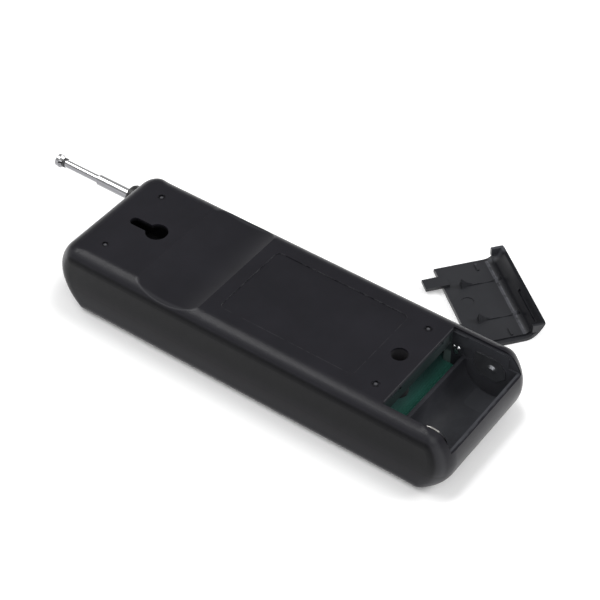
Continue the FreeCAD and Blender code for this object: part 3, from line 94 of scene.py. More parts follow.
# Tones
CASE_DARK = (0.0100, 0.0097, 0.0128)
CASE_LIGHT = (0.0136, 0.0131, 0.0172)
# Painted light and shade on the case's inner faces: paler than the outer skin, darker deep in the bay
BAY_SHADE = (0.024, 0.025, 0.030)
BAY_DARK = (0.037, 0.038, 0.044)
BAY_LIGHT = (0.048, 0.050, 0.057)
# Painted green light from the board in the hollows under the back panel; painted light beside the tab, on the
# side wall by the board's edge and in the screw bore; painted shade in the far hollow
HOLLOW_DARK = (0.014, 0.024, 0.024)
HOLLOW_LIGHT = (0.020, 0.031, 0.031)
CAVITY_TONE = (0.034, 0.033, 0.036)
# Painted shade, with dimmed reflection, on the long sides at mid height
SHOULDER_TONE = (0.002, 0.002, 0.003)
# Painted highlight on the rounded long edges
BROW_TONE = (0.026, 0.026, 0.030)
# Painted highlight on edges: the label recess, the trough's rim and the back panel's edge over the bay
EDGE_TONE = (0.055, 0.055, 0.060)
CRADLE_PATCH_TONE = (0.050, 0.052, 0.059)
# Painted highlight along the end wall's rim
RIM_TONE = (0.062, 0.064, 0.071)
TAB_TONE = (0.036, 0.046, 0.048)
BOARD_EDGE_TONE = (0.100, 0.135, 0.130)
FAR_TONE = (0.004, 0.004, 0.005)
PARTING_TONE = (0.002, 0.002, 0.002)
# Painted shade and painted highlight on the moulding marks
BLOTCH_TONE = (0.002, 0.002, 0.003)
PIP_TONE = (0.080, 0.080, 0.088)
SHOULDER_TINT = (0.42, 0.42, 0.42)
DOOR_DARK = (0.0200, 0.0206, 0.0240)
DOOR_LIGHT = (0.0260, 0.0268, 0.0305)
# Painted shade, with dimmed reflection, in the door's lip; painted highlight on the ridge beside it
DOOR_LIP_TONE = (0.0060, 0.0063, 0.0085)
DOOR_LIP_TINT = (0.50, 0.50, 0.52)
DOOR_RIDGE_TONE = (0.090, 0.092, 0.104)
DOOR_CHEEK_TONE = (0.050, 0.052, 0.060)
# Painted shade on the spring away from its crown
SPRING_DULL = (0.030, 0.030, 0.032)
# Painted shadow on the board under the back panel
BOARD_COVERED = (0.034, 0.086, 0.078)
FULL_TINT = (1.0, 1.0, 1.0)
ANY_WAY = (500.0, 500.0, 500.0)  # scale of tarnish on metal that wasn't drawn
# The antenna's painted reflection, from its bright side round to its darker flank
FLANK_TONES = [(0.0, (1.0, 1.0, 1.0)), (0.08, (0.85, 0.85, 0.87)), (0.36, (0.60, 0.60, 0.62)),
               (0.48, (0.26, 0.26, 0.27)), (0.78, (0.34, 0.34, 0.35)), (1.0, (0.70, 0.70, 0.70))]
FLANK_WAY = (-0.763, -0.647)  # x and z of the direction that the dull flank faces


# Node materials
def new_material(name):
    material = bpy.data.materials.new(name)
    material.use_nodes = True
    tree = material.node_tree
    return material, tree, tree.nodes["Principled BSDF"]


def node(tree, kind, **values):
    made = tree.nodes.new(kind)
    for key, value in values.items():
        setattr(made, key, value)
    return made


def coordinates(tree, scale):
    """The object's own coordinates in metres, scaled."""
    place = node(tree, "ShaderNodeTexCoord")
    mapping = node(tree, "ShaderNodeMapping")
    mapping.inputs["Scale"].default_value = scale if isinstance(scale, tuple) else (scale, scale, scale)
    tree.links.new(place.outputs["Object"], mapping.inputs["Vector"])
    return mapping.outputs["Vector"]


def noise(tree, scale, detail=4.0, roughness=0.55):
    made = node(tree, "ShaderNodeTexNoise")
    made.inputs["Scale"].default_value = 1.0
    made.inputs["Detail"].default_value = detail
    made.inputs["Roughness"].default_value = roughness
    tree.links.new(coordinates(tree, scale), made.inputs["Vector"])
    return made.outputs["Fac"]


def ramp(tree, value, stops):
    """A colour ramp through the (position, colour) stops."""
    made = node(tree, "ShaderNodeValToRGB")
    elements = made.color_ramp.elements
    for index, (position, colour) in enumerate(stops):
        element = elements[index] if index < 2 else elements.new(position)
        element.position = position
        element.color = (*colour, 1.0)
    tree.links.new(value, made.inputs["Fac"])
    return made.outputs["Color"]


def spread(tree, value, low, high):
    made = node(tree, "ShaderNodeMapRange")
    made.inputs["To Min"].default_value = low
    made.inputs["To Max"].default_value = high
    tree.links.new(value, made.inputs["Value"])
    return made.outputs["Result"]


def bump(tree, shader, heights):
    """Chain bumps of (height socket, distance in metres, strength)."""
    normal = None
    for height, distance, strength in heights:
        made = node(tree, "ShaderNodeBump")
        made.inputs["Distance"].default_value = distance
        made.inputs["Strength"].default_value = strength
        tree.links.new(height, made.inputs["Height"])
        if normal:
            tree.links.new(normal, made.inputs["Normal"])
        normal = made.outputs["Normal"]
    tree.links.new(normal, shader.inputs["Normal"])


def maths(tree, operation, first, second=0.0, clamp=False):
    """One arithmetic node; each operand is a socket or a number."""
    made = node(tree, "ShaderNodeMath", operation=operation, use_clamp=clamp)
    for index, operand in enumerate((first, second)):
        if isinstance(operand, (int, float)):
            made.inputs[index].default_value = operand
        else:
            tree.links.new(operand, made.inputs[index])
    return made.outputs["Value"]


def all_of(tree, first, *others):
    """The product of several masks."""
    for other in others:
        first = maths(tree, "MULTIPLY", first, other)
    return first


def weighed(tree, first, first_weight, second, second_weight):
    """The sum of two values, each times its weight, which may be a socket."""
    return maths(tree, "ADD", maths(tree, "MULTIPLY", first, first_weight),
                 maths(tree, "MULTIPLY", second, second_weight))


def hypotenuse(tree, first, second):
    """The root of the sum of two squares."""
    return maths(tree, "SQRT", weighed(tree, first, first, second, second))


def reach_past(tree, value, limit):
    """How far a value lies past a limit, zero before it."""
    return maths(tree, "MAXIMUM", maths(tree, "SUBTRACT", value, limit), 0.0)


def local_millimetres(tree):
    """The surface point's x, y and z in the object's own frame, by name."""
    split = node(tree, "ShaderNodeSeparateXYZ")
    tree.links.new(coordinates(tree, 1.0 / MM), split.inputs["Vector"])
    return {axis: split.outputs[axis.upper()] for axis in "xyz"}


def line_mask(tree, distance, half_width):
    """One where the distance is near zero, fading out over the half width."""
    near = maths(tree, "DIVIDE", maths(tree, "ABSOLUTE", distance), half_width)
    return maths(tree, "SUBTRACT", 1.0, near, clamp=True)


def step_mask(tree, value, start, end):
    """Zero at the start, one at the end, smooth between."""
    made = node(tree, "ShaderNodeMapRange", interpolation_type="SMOOTHSTEP")
    made.inputs["From Min"].default_value = start
    made.inputs["From Max"].default_value = end
    tree.links.new(value, made.inputs["Value"])
    return made.outputs["Result"]


def zone(tree, places, name):
    """The product of a zone's steps over the named places."""
    return all_of(tree, *(step_mask(tree, places[place], start, end) for place, start, end in ZONES[name]))


def rounded_distance(tree, places, outline):
    """Distance in plan from the outline of a rounded rectangle, negative inside."""
    x, y = places["x"], places["y"]
    centre, half, radius = outline
    over_x = maths(tree, "SUBTRACT", maths(tree, "ABSOLUTE", maths(tree, "SUBTRACT", x, centre[0])),
                   half[0] - radius)
    over_y = maths(tree, "SUBTRACT", maths(tree, "ABSOLUTE", maths(tree, "SUBTRACT", y, centre[1])),
                   half[1] - radius)
    out_x = maths(tree, "MAXIMUM", over_x, 0.0)
    out_y = maths(tree, "MAXIMUM", over_y, 0.0)
    corner = hypotenuse(tree, out_x, out_y)
    inside = maths(tree, "MINIMUM", maths(tree, "MAXIMUM", over_x, over_y), 0.0)
    return maths(tree, "SUBTRACT", maths(tree, "ADD", corner, inside), radius)


def blend(tree, factor, first, second):
    """Mix two colours, each a socket or a colour."""
    made = node(tree, "ShaderNodeMix", data_type="RGBA")
    tree.links.new(factor, made.inputs["Factor"])
    for socket, colour in ((made.inputs[COLOUR_A], first), (made.inputs[COLOUR_B], second)):
        if isinstance(colour, tuple):
            socket.default_value = (*colour, 1.0)
        else:
            tree.links.new(colour, socket)
    return made.outputs[MIXED_COLOUR]


def mottle(tree, scale, dark, light, detail=3.0):
    """A slow change between two tones."""
    return ramp(tree, noise(tree, scale, detail), [(0.3, dark), (0.7, light)])


def fed_by(shader, name):
    """The socket that feeds a shader's input."""
    return shader.inputs[name].links[0].from_socket


def plastic(name, dark, light, rough_low, rough_high, gloss=0.5):
    """Moulded plastic: fine spark-eroded grain, slow colour change and handling marks."""
    material, tree, shader = new_material(name)
    tree.links.new(mottle(tree, 45.0, dark, light), shader.inputs["Base Color"])
    marks = noise(tree, (90.0, 420.0, 200.0), 5.0, 0.6)
    tree.links.new(spread(tree, marks, rough_low, rough_high), shader.inputs["Roughness"])
    bump(tree, shader, [(noise(tree, 2600.0, 2.0), 0.000012, 0.6), (noise(tree, 160.0, 2.0), 0.00002, 0.25)])
    shader.inputs["Specular IOR Level"].default_value = gloss
    return material


def circle_height(tree, run, radius):
    """The height of a circle's arc above its centre, at a run from it."""
    left = maths(tree, "SUBTRACT", radius * radius, maths(tree, "MULTIPLY", run, run))
    return maths(tree, "SQRT", maths(tree, "MAXIMUM", left, 0.0))


def case_depth(tree, places):
    """How far a point lies below the rounded back, in millimetres."""
    run = reach_past(tree, places["across"], HALF_WIDTH - EDGE_RADIUS)
    skin = maths(tree, "ADD", circle_height(tree, run, EDGE_RADIUS), HEIGHT - EDGE_RADIUS)
    return maths(tree, "SUBTRACT", skin, places["z"])


def inner_mask(tree, places):
    """One on the case's inner faces, zero on its outer skin and in its finger trough."""
    z = places["z"]
    along = reach_past(tree, maths(tree, "ABSOLUTE", places["y"]), END_CENTRE[0])
    reach = hypotenuse(tree, along, maths(tree, "SUBTRACT", z, END_CENTRE[1]))
    under = maths(tree, "MINIMUM", maths(tree, "SUBTRACT", HEIGHT, z),
                  maths(tree, "SUBTRACT", END_RADIUS, reach))
    over_side = reach_past(tree, places["across"], HALF_WIDTH - EDGE_RADIUS)
    over_top = maths(tree, "MAXIMUM", maths(tree, "SUBTRACT", EDGE_RADIUS, under), 0.0)
    bend = hypotenuse(tree, over_side, over_top)
    skins = {"skin": maths(tree, "SUBTRACT", EDGE_RADIUS, bend),
             "plan": rounded_distance(tree, places, CASE_OUTLINE), "z": z}
    return all_of(tree, zone(tree, skins, "skin_depth"),
                  maths(tree, "SUBTRACT", 1.0, zone(tree, places, "trough")))


def inner_colour(tree, places):
    """Painted light on the inner faces, paler than the outer skin: painted shade deep in the bay, and painted
    green light from the board in the hollows under the back panel.
    """
    slant = maths(tree, "SUBTRACT", places["y"], maths(tree, "MULTIPLY", places["z"], 0.45))
    deep = zone(tree, {"slant": slant}, "bay_deep")
    bay = blend(tree, deep, mottle(tree, 90.0, BAY_SHADE, BAY_DARK), mottle(tree, 120.0, BAY_DARK, BAY_LIGHT))
    hollow = mottle(tree, 120.0, HOLLOW_DARK, HOLLOW_LIGHT)
    # Painted light beside the tab, on the side wall by the board's edge and in the screw bore; painted shade
    # in the far hollow
    for name, tone in (("by_tab", TAB_TONE), ("by_board", BOARD_EDGE_TONE), ("cavity", CAVITY_TONE),
                       ("far_hollow", FAR_TONE)):
        hollow = blend(tree, zone(tree, places, name), hollow, tone)
    return blend(tree, zone(tree, places, "past_mouth"), hollow, bay)


def case_material():
    """Black moulded case with its parting line: painted light inside, painted shade on the long sides, and
    painted highlights along its edges and on its moulding marks.
    """
    material = plastic("case_black", CASE_DARK, CASE_LIGHT, 0.28, 0.37, 0.20)
    tree = material.node_tree
    shader = tree.nodes["Principled BSDF"]
    places = local_millimetres(tree)
    x, y, z = places.values()
    places["across"] = maths(tree, "ABSOLUTE", x)
    places["depth"] = case_depth(tree, places)

    # Inner faces with their painted light, and painted shade on the long sides at mid height, where their
    # reflection is dimmed too
    inside = inner_mask(tree, places)
    outside = maths(tree, "SUBTRACT", 1.0, inside)
    colour = blend(tree, inside, fed_by(shader, "Base Color"), inner_colour(tree, places))
    shoulder = zone(tree, places, "shoulder")
    colour = blend(tree, shoulder, colour, SHOULDER_TONE)
    rough = fed_by(shader, "Roughness")
    rough = maths(tree, "ADD", rough, maths(tree, "MULTIPLY", inside, 0.22), clamp=True)
    rough = maths(tree, "ADD", rough, maths(tree, "MULTIPLY", shoulder, 0.10), clamp=True)
    tree.links.new(rough, shader.inputs["Roughness"])
    tree.links.new(blend(tree, shoulder, FULL_TINT, SHOULDER_TINT), shader.inputs["Specular Tint"])

    # Painted highlight on the rounded edge, and the parting line
    colour = blend(tree, all_of(tree, zone(tree, places, "brow"), outside), colour, BROW_TONE)
    off_parting = maths(tree, "SUBTRACT", z, PARTING_HEIGHT)
    colour = blend(tree, all_of(tree, line_mask(tree, off_parting, 0.45), outside), colour, PARTING_TONE)

    # Painted highlights: paler lines along the label recess and where the trough meets the rounded edge
    # Noise that breaks up the painted highlights along the label recess and the end wall's rim
    highlight_breakup = step_mask(tree, noise(tree, 260.0, 3.0), 0.38, 0.62)
    edge = line_mask(tree, rounded_distance(tree, places, LABEL_OUTLINE), 0.28)
    edge = all_of(tree, edge, zone(tree, places, "label_face"), maths(tree, "MULTIPLY", highlight_breakup, 0.8))
    colour = blend(tree, edge, colour, EDGE_TONE)
    trough_run = maths(tree, "SUBTRACT", y, TROUGH_CENTRE[0])
    trough = maths(tree, "SUBTRACT", TROUGH_CENTRE[1], circle_height(tree, trough_run, TROUGH_RADIUS))
    off_trough = maths(tree, "ABSOLUTE", maths(tree, "SUBTRACT", z, trough))
    off_skin = maths(tree, "ABSOLUTE", places["depth"])
    lip = all_of(tree, line_mask(tree, maths(tree, "ADD", off_trough, off_skin), 0.55),
                 zone(tree, places, "trough_lip"))
    colour = blend(tree, maths(tree, "MULTIPLY", lip, 0.8), colour, EDGE_TONE)

    # Painted highlight on the back panel's edge over the bay, and the moulding marks with painted shade in
    # dark blotches and painted highlights in pale pips
    mouth = all_of(tree, line_mask(tree, maths(tree, "SUBTRACT", y, BAY_MOUTH), 0.4),
                   zone(tree, places, "mouth_edge"))
    colour = blend(tree, mouth, colour, EDGE_TONE)
    along_to_mark = [maths(tree, "ABSOLUTE", maths(tree, "SUBTRACT", y, mark)) for mark in MARK_YS]
    places["from_mark"] = hypotenuse(tree, maths(tree, "SUBTRACT", places["across"], MARK_X),
                                     maths(tree, "MINIMUM", *along_to_mark))
    # Painted shade in dark speckled blotches and painted highlights in pale pips on the moulding marks
    speckle = step_mask(tree, noise(tree, 900.0, 3.0), 0.42, 0.55)
    colour = blend(tree, all_of(tree, zone(tree, places, "mark_blotch"), speckle), colour, BLOTCH_TONE)
    colour = blend(tree, zone(tree, places, "mark_pip"), colour, PIP_TONE)

    # Painted highlight along the end wall's rim, and a paler patch in the cradle
    rim = all_of(tree, line_mask(tree, maths(tree, "SUBTRACT", y, WALL_RIM), 0.45),
                 zone(tree, places, "wall_rim"), maths(tree, "MULTIPLY", highlight_breakup, 0.7))
    colour = blend(tree, rim, colour, RIM_TONE)
    places["cradle_patch"] = rounded_distance(tree, places, CRADLE_PATCH_OUTLINE)
    colour = blend(tree, all_of(tree, zone(tree, places, "cradle_patch"), inside), colour, CRADLE_PATCH_TONE)
    tree.links.new(colour, shader.inputs["Base Color"])
    return material


def metal(name, dark, light, rough_low, rough_high, stretch=(900.0, 60.0, 900.0)):
    """Plated metal with faint drawing lines and slow tarnish."""
    material, tree, shader = new_material(name)
    tree.links.new(mottle(tree, 70.0, dark, light, 4.0), shader.inputs["Base Color"])
    lines = noise(tree, stretch, 3.0)
    tree.links.new(spread(tree, lines, rough_low, rough_high), shader.inputs["Roughness"])
    bump(tree, shader, [(lines, 0.000006, 0.4)])
    shader.inputs["Metallic"].default_value = 1.0
    return material


def door_material():
    """The door's plastic: painted shade and dimmed reflection in the curve of its lip, and a painted
    highlight along the ridge beside it.
    """
    material = plastic("door_black", DOOR_DARK, DOOR_LIGHT, 0.28, 0.38, 0.34)
    tree = material.node_tree
    shader = tree.nodes["Principled BSDF"]
    places = local_millimetres(tree)
    x, y, _ = places.values()
    places["reach"] = weighed(tree, x, DOOR_COSINE, y, -DOOR_SINE)
    places["side"] = weighed(tree, x, DOOR_SINE, y, DOOR_COSINE)
    # Painted shade and dimmed reflection in the lip's curve
    lip = zone(tree, places, "door_lip")
    tree.links.new(blend(tree, lip, FULL_TINT, DOOR_LIP_TINT), shader.inputs["Specular Tint"])
    # Noise that breaks up the painted highlight along the ridge
    ridge_breakup = step_mask(tree, noise(tree, 300.0, 4.0), 0.30, 0.55)
    ridge = all_of(tree, zone(tree, places, "door_ridge"), ridge_breakup)
    colour = blend(tree, lip, fed_by(shader, "Base Color"), DOOR_LIP_TONE)
    colour = blend(tree, ridge, colour, DOOR_RIDGE_TONE)
    colour = blend(tree, zone(tree, places, "door_cheek"), colour, DOOR_CHEEK_TONE)
    tree.links.new(colour, shader.inputs["Base Color"])
    return material


def chrome_material():
    """Bright chrome, with a painted reflection: darker on the flank that faces down and towards -x."""
    material = metal("antenna_chrome", (0.80, 0.80, 0.81), (0.88, 0.88, 0.89), 0.08, 0.16)
    tree = material.node_tree
    shader = tree.nodes["Principled BSDF"]
    place = node(tree, "ShaderNodeTexCoord")
    facing = node(tree, "ShaderNodeSeparateXYZ")
    tree.links.new(place.outputs["Normal"], facing.inputs["Vector"])
    # Painted reflection: darker where the surface faces the flank's way
    flank = weighed(tree, facing.outputs["X"], FLANK_WAY[0], facing.outputs["Z"], FLANK_WAY[1])
    tone = node(tree, "ShaderNodeMix", data_type="RGBA", blend_type="MULTIPLY")
    tone.inputs["Factor"].default_value = 1.0
    tree.links.new(fed_by(shader, "Base Color"), tone.inputs[COLOUR_A])
    tree.links.new(ramp(tree, flank, FLANK_TONES), tone.inputs[COLOUR_B])
    tree.links.new(tone.outputs[MIXED_COLOUR], shader.inputs["Base Color"])
    return material


def spring_material():
    """Nickel, with a painted glint on the coil's crown and painted shade towards its ends."""
    material = metal("nickel", (0.34, 0.33, 0.32), (0.46, 0.45, 0.43), 0.30, 0.44, ANY_WAY)
    tree = material.node_tree
    shader = tree.nodes["Principled BSDF"]
    # Painted glint on the crown
    crown = zone(tree, local_millimetres(tree), "spring_crown")
    colour = blend(tree, crown, SPRING_DULL, fed_by(shader, "Base Color"))
    tree.links.new(colour, shader.inputs["Base Color"])
    return material


def board_material():
    """Solder mask over copper: pale tracks and pads that show faintly, and painted shadow under the back
    panel.
    """
    material, tree, shader = new_material("board_mask")
    tracks = node(tree, "ShaderNodeTexBrick")
    tracks.inputs["Scale"].default_value = 1.0
    tracks.inputs["Color1"].default_value = (0.046, 0.196, 0.150, 1.0)
    tracks.inputs["Color2"].default_value = (0.052, 0.222, 0.170, 1.0)
    tracks.inputs["Mortar"].default_value = (0.039, 0.168, 0.130, 1.0)
    tracks.inputs["Mortar Size"].default_value = 0.06
    tree.links.new(coordinates(tree, 220.0), tracks.inputs["Vector"])
    # Painted shadow under the back panel
    covered = zone(tree, local_millimetres(tree), "board_covered")
    tree.links.new(blend(tree, covered, tracks.outputs["Color"], BOARD_COVERED), shader.inputs["Base Color"])
    tree.links.new(spread(tree, noise(tree, 300.0), 0.25, 0.40), shader.inputs["Roughness"])
    bump(tree, shader, [(tracks.outputs["Fac"], 0.00003, 0.6), (noise(tree, 1500.0), 0.00001, 0.4)])
    return material


def clear_material(name, tint, rough, alpha):
    """A see-through plate, faintly uneven in tint and polish."""
    material, tree, shader = new_material(name)
    paler = tuple(part * 1.05 for part in tint)
    tree.links.new(mottle(tree, 60.0, tint, paler, 4.0), shader.inputs["Base Color"])
    tree.links.new(spread(tree, noise(tree, 300.0), rough, rough * 1.6), shader.inputs["Roughness"])
    bump(tree, shader, [(noise(tree, 500.0), 0.000004, 0.3)])
    shader.inputs["Alpha"].default_value = alpha
    return material


# Materials: dark and light tone, least and most roughness
BLACK = case_material()
DOOR = door_material()
COLLAR = plastic("collar_black", (0.010, 0.010, 0.011), (0.014, 0.014, 0.015), 0.35, 0.5)
CHROME = chrome_material()
NICKEL = spring_material()
# The plate contact's dark tones are a painted reflection of the dark bay round it
PLATE = metal("contact_plate", (0.26, 0.27, 0.29), (0.40, 0.41, 0.43), 0.34, 0.50, ANY_WAY)
STEEL = metal("zinc_steel", (0.52, 0.52, 0.53), (0.66, 0.66, 0.67), 0.25, 0.42, (700.0, 700.0, 700.0))
TINNED = metal("tinned_steel", (0.56, 0.57, 0.58), (0.68, 0.69, 0.70), 0.22, 0.40, (400.0, 900.0, 900.0))
BRASS = metal("brass", (0.62, 0.44, 0.16), (0.76, 0.56, 0.24), 0.22, 0.36, (700.0, 700.0, 700.0))
GREEN = board_material()
KEY = plastic("key_rubber", (0.075, 0.078, 0.085), (0.095, 0.098, 0.105), 0.55, 0.72)
DARK = plastic("part_black", (0.018, 0.018, 0.019), (0.028, 0.028, 0.029), 0.45, 0.62)
RING = plastic("ring_dark", (0.030, 0.030, 0.032), (0.045, 0.045, 0.048), 0.35, 0.5)
WHITE = plastic("bezel_white", (0.66, 0.66, 0.64), (0.74, 0.74, 0.72), 0.45, 0.6)
LIGHT = plastic("light_guide", (0.70, 0.76, 0.68), (0.78, 0.83, 0.76), 0.30, 0.45)
STRIP = plastic("zebra_strip", (0.36, 0.14, 0.22), (0.44, 0.19, 0.28), 0.55, 0.7)
CAP = plastic("capacitor_sleeve", (0.020, 0.030, 0.110), (0.030, 0.045, 0.150), 0.28, 0.42)
FERRITE = plastic("ferrite", (0.045, 0.043, 0.042), (0.075, 0.072, 0.070), 0.6, 0.8)
RED_WIRE = plastic("red_wire", (0.42, 0.015, 0.012), (0.52, 0.022, 0.018), 0.35, 0.5)
BLACK_WIRE = plastic("black_wire", (0.014, 0.014, 0.014), (0.022, 0.022, 0.022), 0.35, 0.5)
LAMP = plastic("lamp_red", (0.42, 0.018, 0.012), (0.55, 0.030, 0.020), 0.10, 0.18)
WINDOW = clear_material("window_clear", (0.62, 0.66, 0.68), 0.05, 0.28)
LCD = clear_material("lcd_glass", (0.26, 0.30, 0.24), 0.08, 0.94)

MATERIALS = {
    "back_case": BLACK, "front_case": BLACK, "battery_door": DOOR, "display_window": WINDOW,
    "lcd_glass": LCD, "lcd_bezel": WHITE, "lcd_backlight": LIGHT, "lcd_strip_upper": STRIP,
    "lcd_strip_lower": STRIP, "main_board": GREEN, "gate_lamp": LAMP, "antenna_ring": RING,
    "antenna_collar": COLLAR, "antenna_bracket": TINNED, "plate_contact": PLATE,
    "spring_contact": NICKEL, "red_lead": RED_WIRE, "black_lead": BLACK_WIRE,
    "antenna_lead": BLACK_WIRE, "main_chip": DARK, "regulator_chip": DARK, "shield_can": TINNED,
    "crystal": TINNED, "large_capacitor": CAP, "small_capacitor": CAP, "power_coil": FERRITE,
    "trimmer": BRASS, "antenna_screw": STEEL, "case_screw": STEEL, "antenna_sleeve": CHROME,
    "antenna_rod": CHROME,
}
PREFIXES = {
    "antenna_section_": CHROME, "board_screw_": STEEL, "key_": KEY, "plunger_": DARK, "switch_": DARK,
}
for name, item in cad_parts.items():
    chosen = MATERIALS.get(name)
    if chosen is None:
        chosen = next(made for prefix, made in PREFIXES.items() if name.startswith(prefix))
    slots = item.data.materials
    if not slots:
        slots.append(chosen)
    for index in range(len(slots)):
        slots[index] = chosen


# Solder joints
SOLDER = metal("solder", (0.74, 0.75, 0.77), (0.86, 0.87, 0.89), 0.14, 0.30, ANY_WAY)


def solder_joint(name, centre, radius, height, seed, axis="Z"):
    """A domed, slightly uneven solder joint that flows out to a thin skirt, riding on the case."""
    rings, sides = 9, 20
    sunk = 0.1 * MM
    build = bmesh.new()
    rows = []
    for ring in range(rings):
        share = ring / rings
        run = radius * (1.0 - share ** 1.6)
        rise = height * (share ** 0.8)
        row = []
        for side in range(sides):
            turn = 2 * math.pi * side / sides
            uneven = 1.0 + 0.12 * math.sin(2 * turn + seed) + 0.06 * math.sin(3 * turn + 2.1 * seed + share)
            row.append(build.verts.new((run * uneven * math.cos(turn), run * uneven * math.sin(turn), rise)))
        rows.append(row)
    tip = build.verts.new((0.0, 0.0, height))
    foot = build.verts.new((0.0, 0.0, -sunk))
    for lower, upper in zip(rows, rows[1:]):
        for side in range(sides):
            after = (side + 1) % sides
            build.faces.new((lower[side], lower[after], upper[after], upper[side]))
    for side in range(sides):
        after = (side + 1) % sides
        build.faces.new((rows[-1][side], rows[-1][after], tip))
        build.faces.new((rows[0][after], rows[0][side], foot))
    turned = {"Z": Matrix(), "-X": Matrix.Rotation(-math.pi / 2, 4, "Y")}[axis]
    build.transform(Matrix.Translation(Vector(centre)) @ turned)
    mesh = bpy.data.meshes.new(name)
    build.to_mesh(mesh)
    build.free()
    for face in mesh.polygons:
        face.use_smooth = True
    mesh.materials.append(SOLDER)
    piece = bpy.data.objects.new(name, mesh)
    scene.collection.objects.link(piece)
    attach(piece, "case")


def lead_joints():
    """A joint where each lead meets the board, and two on the far cell contact's tab."""
    board_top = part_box("main_board")[1][2]
    lead_radius = 0.7 * MM
    for index, lead in enumerate(("red_lead", "black_lead", "antenna_lead")):
        low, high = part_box(lead)
        y = low[1] + lead_radius if lead == "antenna_lead" else (low[1] + high[1]) / 2
        solder_joint(f"{lead}_joint", ((low[0] + high[0]) / 2, y, board_top), 1.5 * MM, 1.1 * MM, index + 1)
    solder_joint("tab_joint", (27.2 * MM, -72.2 * MM, 23.6 * MM), 1.5 * MM, 1.3 * MM, 4, "-X")
    solder_joint("tab_drip", (27.2 * MM, -70.2 * MM, 24.0 * MM), 0.8 * MM, 0.7 * MM, 5, "-X")


lead_joints()


# Studio
FLOOR_HALF = 3.0  # metres
FLOOR_DROP = 0.05 * MM
FLOOR_TOUCH = 3.0 * MM
FLOOR_GLOW = 0.28
AMBIENT = 0.45
# The room's brightness in reflections, by direction: 0 is the horizon and below, 1 straight overhead
ROOM_TONES = [(0.0, (0.9, 0.9, 0.9)), (0.16, (0.9, 0.9, 0.9)), (0.36, (0.30, 0.30, 0.30)),
              (0.74, (0.30, 0.30, 0.30)), (0.90, (0.85, 0.85, 0.85))]
# Name, place, size in metres and power in watts; each lamp points at the origin
LAMPS = (
    ("overhead", (-0.24, 0.62, 1.10), (0.9, 0.45), 6.5),
    ("key", (0.80, -0.85, 0.80), (0.7, 0.5), 9.0),
    ("fill", (-0.75, -0.65, 0.95), (1.0, 1.0), 5.0),
)
# The camera fitted to the photograph: millimetres and radians in the object's frame
CAMERA_PLACE = (-460.0, -337.2, 579.15)
CAMERA_YAW, CAMERA_PITCH, CAMERA_ROLL = 0.949578628, 0.764158055, 0.00559644289
CAMERA_LENS = 109.037


def backdrop():
    """A white floor just under the object, clear from below so that the underside can be seen.

    The camera and mirrors see it a little brighter away from the case, where its shadow thins out, and
    from nearer at the cell bay's end, where the photograph's table is lit more.
    """
    mesh = bpy.data.meshes.new("floor")
    build = bmesh.new()
    build.faces.new([build.verts.new((x * FLOOR_HALF, y * FLOOR_HALF, -FLOOR_DROP))
                     for x, y in ((-1, -1), (1, -1), (1, 1), (-1, 1))])
    build.to_mesh(mesh)
    build.free()
    floor = bpy.data.objects.new("floor", mesh)
    scene.collection.objects.link(floor)

    material, tree, shader = new_material("floor_white")
    mesh.materials.append(material)
    shader.inputs["Base Color"].default_value = (1.0, 1.0, 1.0, 1.0)
    shader.inputs["Roughness"].default_value = 0.9
    shader.inputs["Specular IOR Level"].default_value = 0.0
    shader.inputs["Emission Color"].default_value = (1.0, 1.0, 1.0, 1.0)
    paths = node(tree, "ShaderNodeLightPath").outputs
    places = local_millimetres(tree)
    places["away"] = rounded_distance(tree, places, CASE_OUTLINE)
    sharp = maths(tree, "MAXIMUM", paths["Is Glossy Ray"], paths["Is Transmission Ray"])
    seen = maths(tree, "MAXIMUM", paths["Is Camera Ray"], sharp)
    lit = maths(tree, "MAXIMUM", zone(tree, places, "floor_away"), zone(tree, places, "floor_past_end"))
    glow = all_of(tree, seen, lit, FLOOR_GLOW)
    tree.links.new(glow, shader.inputs["Emission Strength"])

    # Clear from below, and to rays that start on the object just above it
    side = node(tree, "ShaderNodeNewGeometry")
    touching = maths(tree, "LESS_THAN", paths["Ray Length"], FLOOR_TOUCH)
    clear = node(tree, "ShaderNodeBsdfTransparent")
    mixed = node(tree, "ShaderNodeMixShader")
    tree.links.new(maths(tree, "MAXIMUM", side.outputs["Backfacing"], touching), mixed.inputs[0])
    tree.links.new(shader.outputs["BSDF"], mixed.inputs[1])
    tree.links.new(clear.outputs["BSDF"], mixed.inputs[2])
    tree.links.new(mixed.outputs["Shader"], tree.nodes["Material Output"].inputs["Surface"])


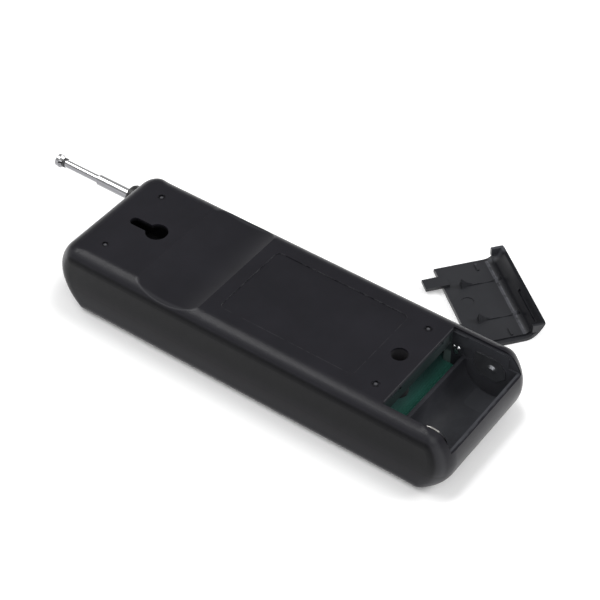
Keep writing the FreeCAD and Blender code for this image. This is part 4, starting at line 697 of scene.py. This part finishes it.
def world_light():
    """A white room to the camera, even light on the object, and a grey band part way up in reflections."""
    world = bpy.data.worlds.new("studio")
    scene.world = world
    world.use_nodes = True
    tree = world.node_tree
    background = tree.nodes["Background"]
    background.inputs["Color"].default_value = (1.0, 1.0, 1.0, 1.0)
    paths = node(tree, "ShaderNodeLightPath").outputs
    place = node(tree, "ShaderNodeTexCoord")
    split = node(tree, "ShaderNodeSeparateXYZ")
    tree.links.new(place.outputs["Generated"], split.inputs["Vector"])
    sharp = maths(tree, "ADD", paths["Is Glossy Ray"], paths["Is Transmission Ray"], clamp=True)
    lit = node(tree, "ShaderNodeMix", data_type="FLOAT")
    lit.inputs["A"].default_value = AMBIENT
    tree.links.new(sharp, lit.inputs["Factor"])
    tree.links.new(ramp(tree, split.outputs["Z"], ROOM_TONES), lit.inputs["B"])
    seen = node(tree, "ShaderNodeMix", data_type="FLOAT")
    seen.inputs["B"].default_value = 1.0
    tree.links.new(paths["Is Camera Ray"], seen.inputs["Factor"])
    tree.links.new(lit.outputs["Result"], seen.inputs["A"])
    tree.links.new(seen.outputs["Result"], background.inputs["Strength"])


def area_lamp(name, place, size, power):
    """A soft rectangular lamp that points at the origin."""
    lamp = bpy.data.lights.new(name, "AREA")
    lamp.shape = "RECTANGLE"
    lamp.size, lamp.size_y = size
    lamp.energy = power
    item = bpy.data.objects.new(name, lamp)
    item.location = place
    item.rotation_euler = (-Vector(place)).to_track_quat("-Z", "Y").to_euler()
    scene.collection.objects.link(item)


def camera():
    """The photograph's viewpoint, in the object's frame."""
    data = bpy.data.cameras.new("camera")
    data.sensor_width = 36.0
    data.lens = CAMERA_LENS
    data.clip_start = 0.05
    data.clip_end = 10.0
    item = bpy.data.objects.new("camera", data)
    scene.collection.objects.link(item)
    level = math.cos(CAMERA_PITCH)
    forward = Vector((math.sin(CAMERA_YAW) * level, math.cos(CAMERA_YAW) * level, -math.sin(CAMERA_PITCH)))
    upright = forward.to_track_quat("-Z", "Y").to_matrix().to_4x4()
    item.matrix_world = (Matrix.Translation(Vector(CAMERA_PLACE) * MM)
                         @ upright @ Matrix.Rotation(CAMERA_ROLL, 4, "Z"))
    scene.camera = item


backdrop()
world_light()
for lamp_row in LAMPS:
    area_lamp(*lamp_row)
camera()
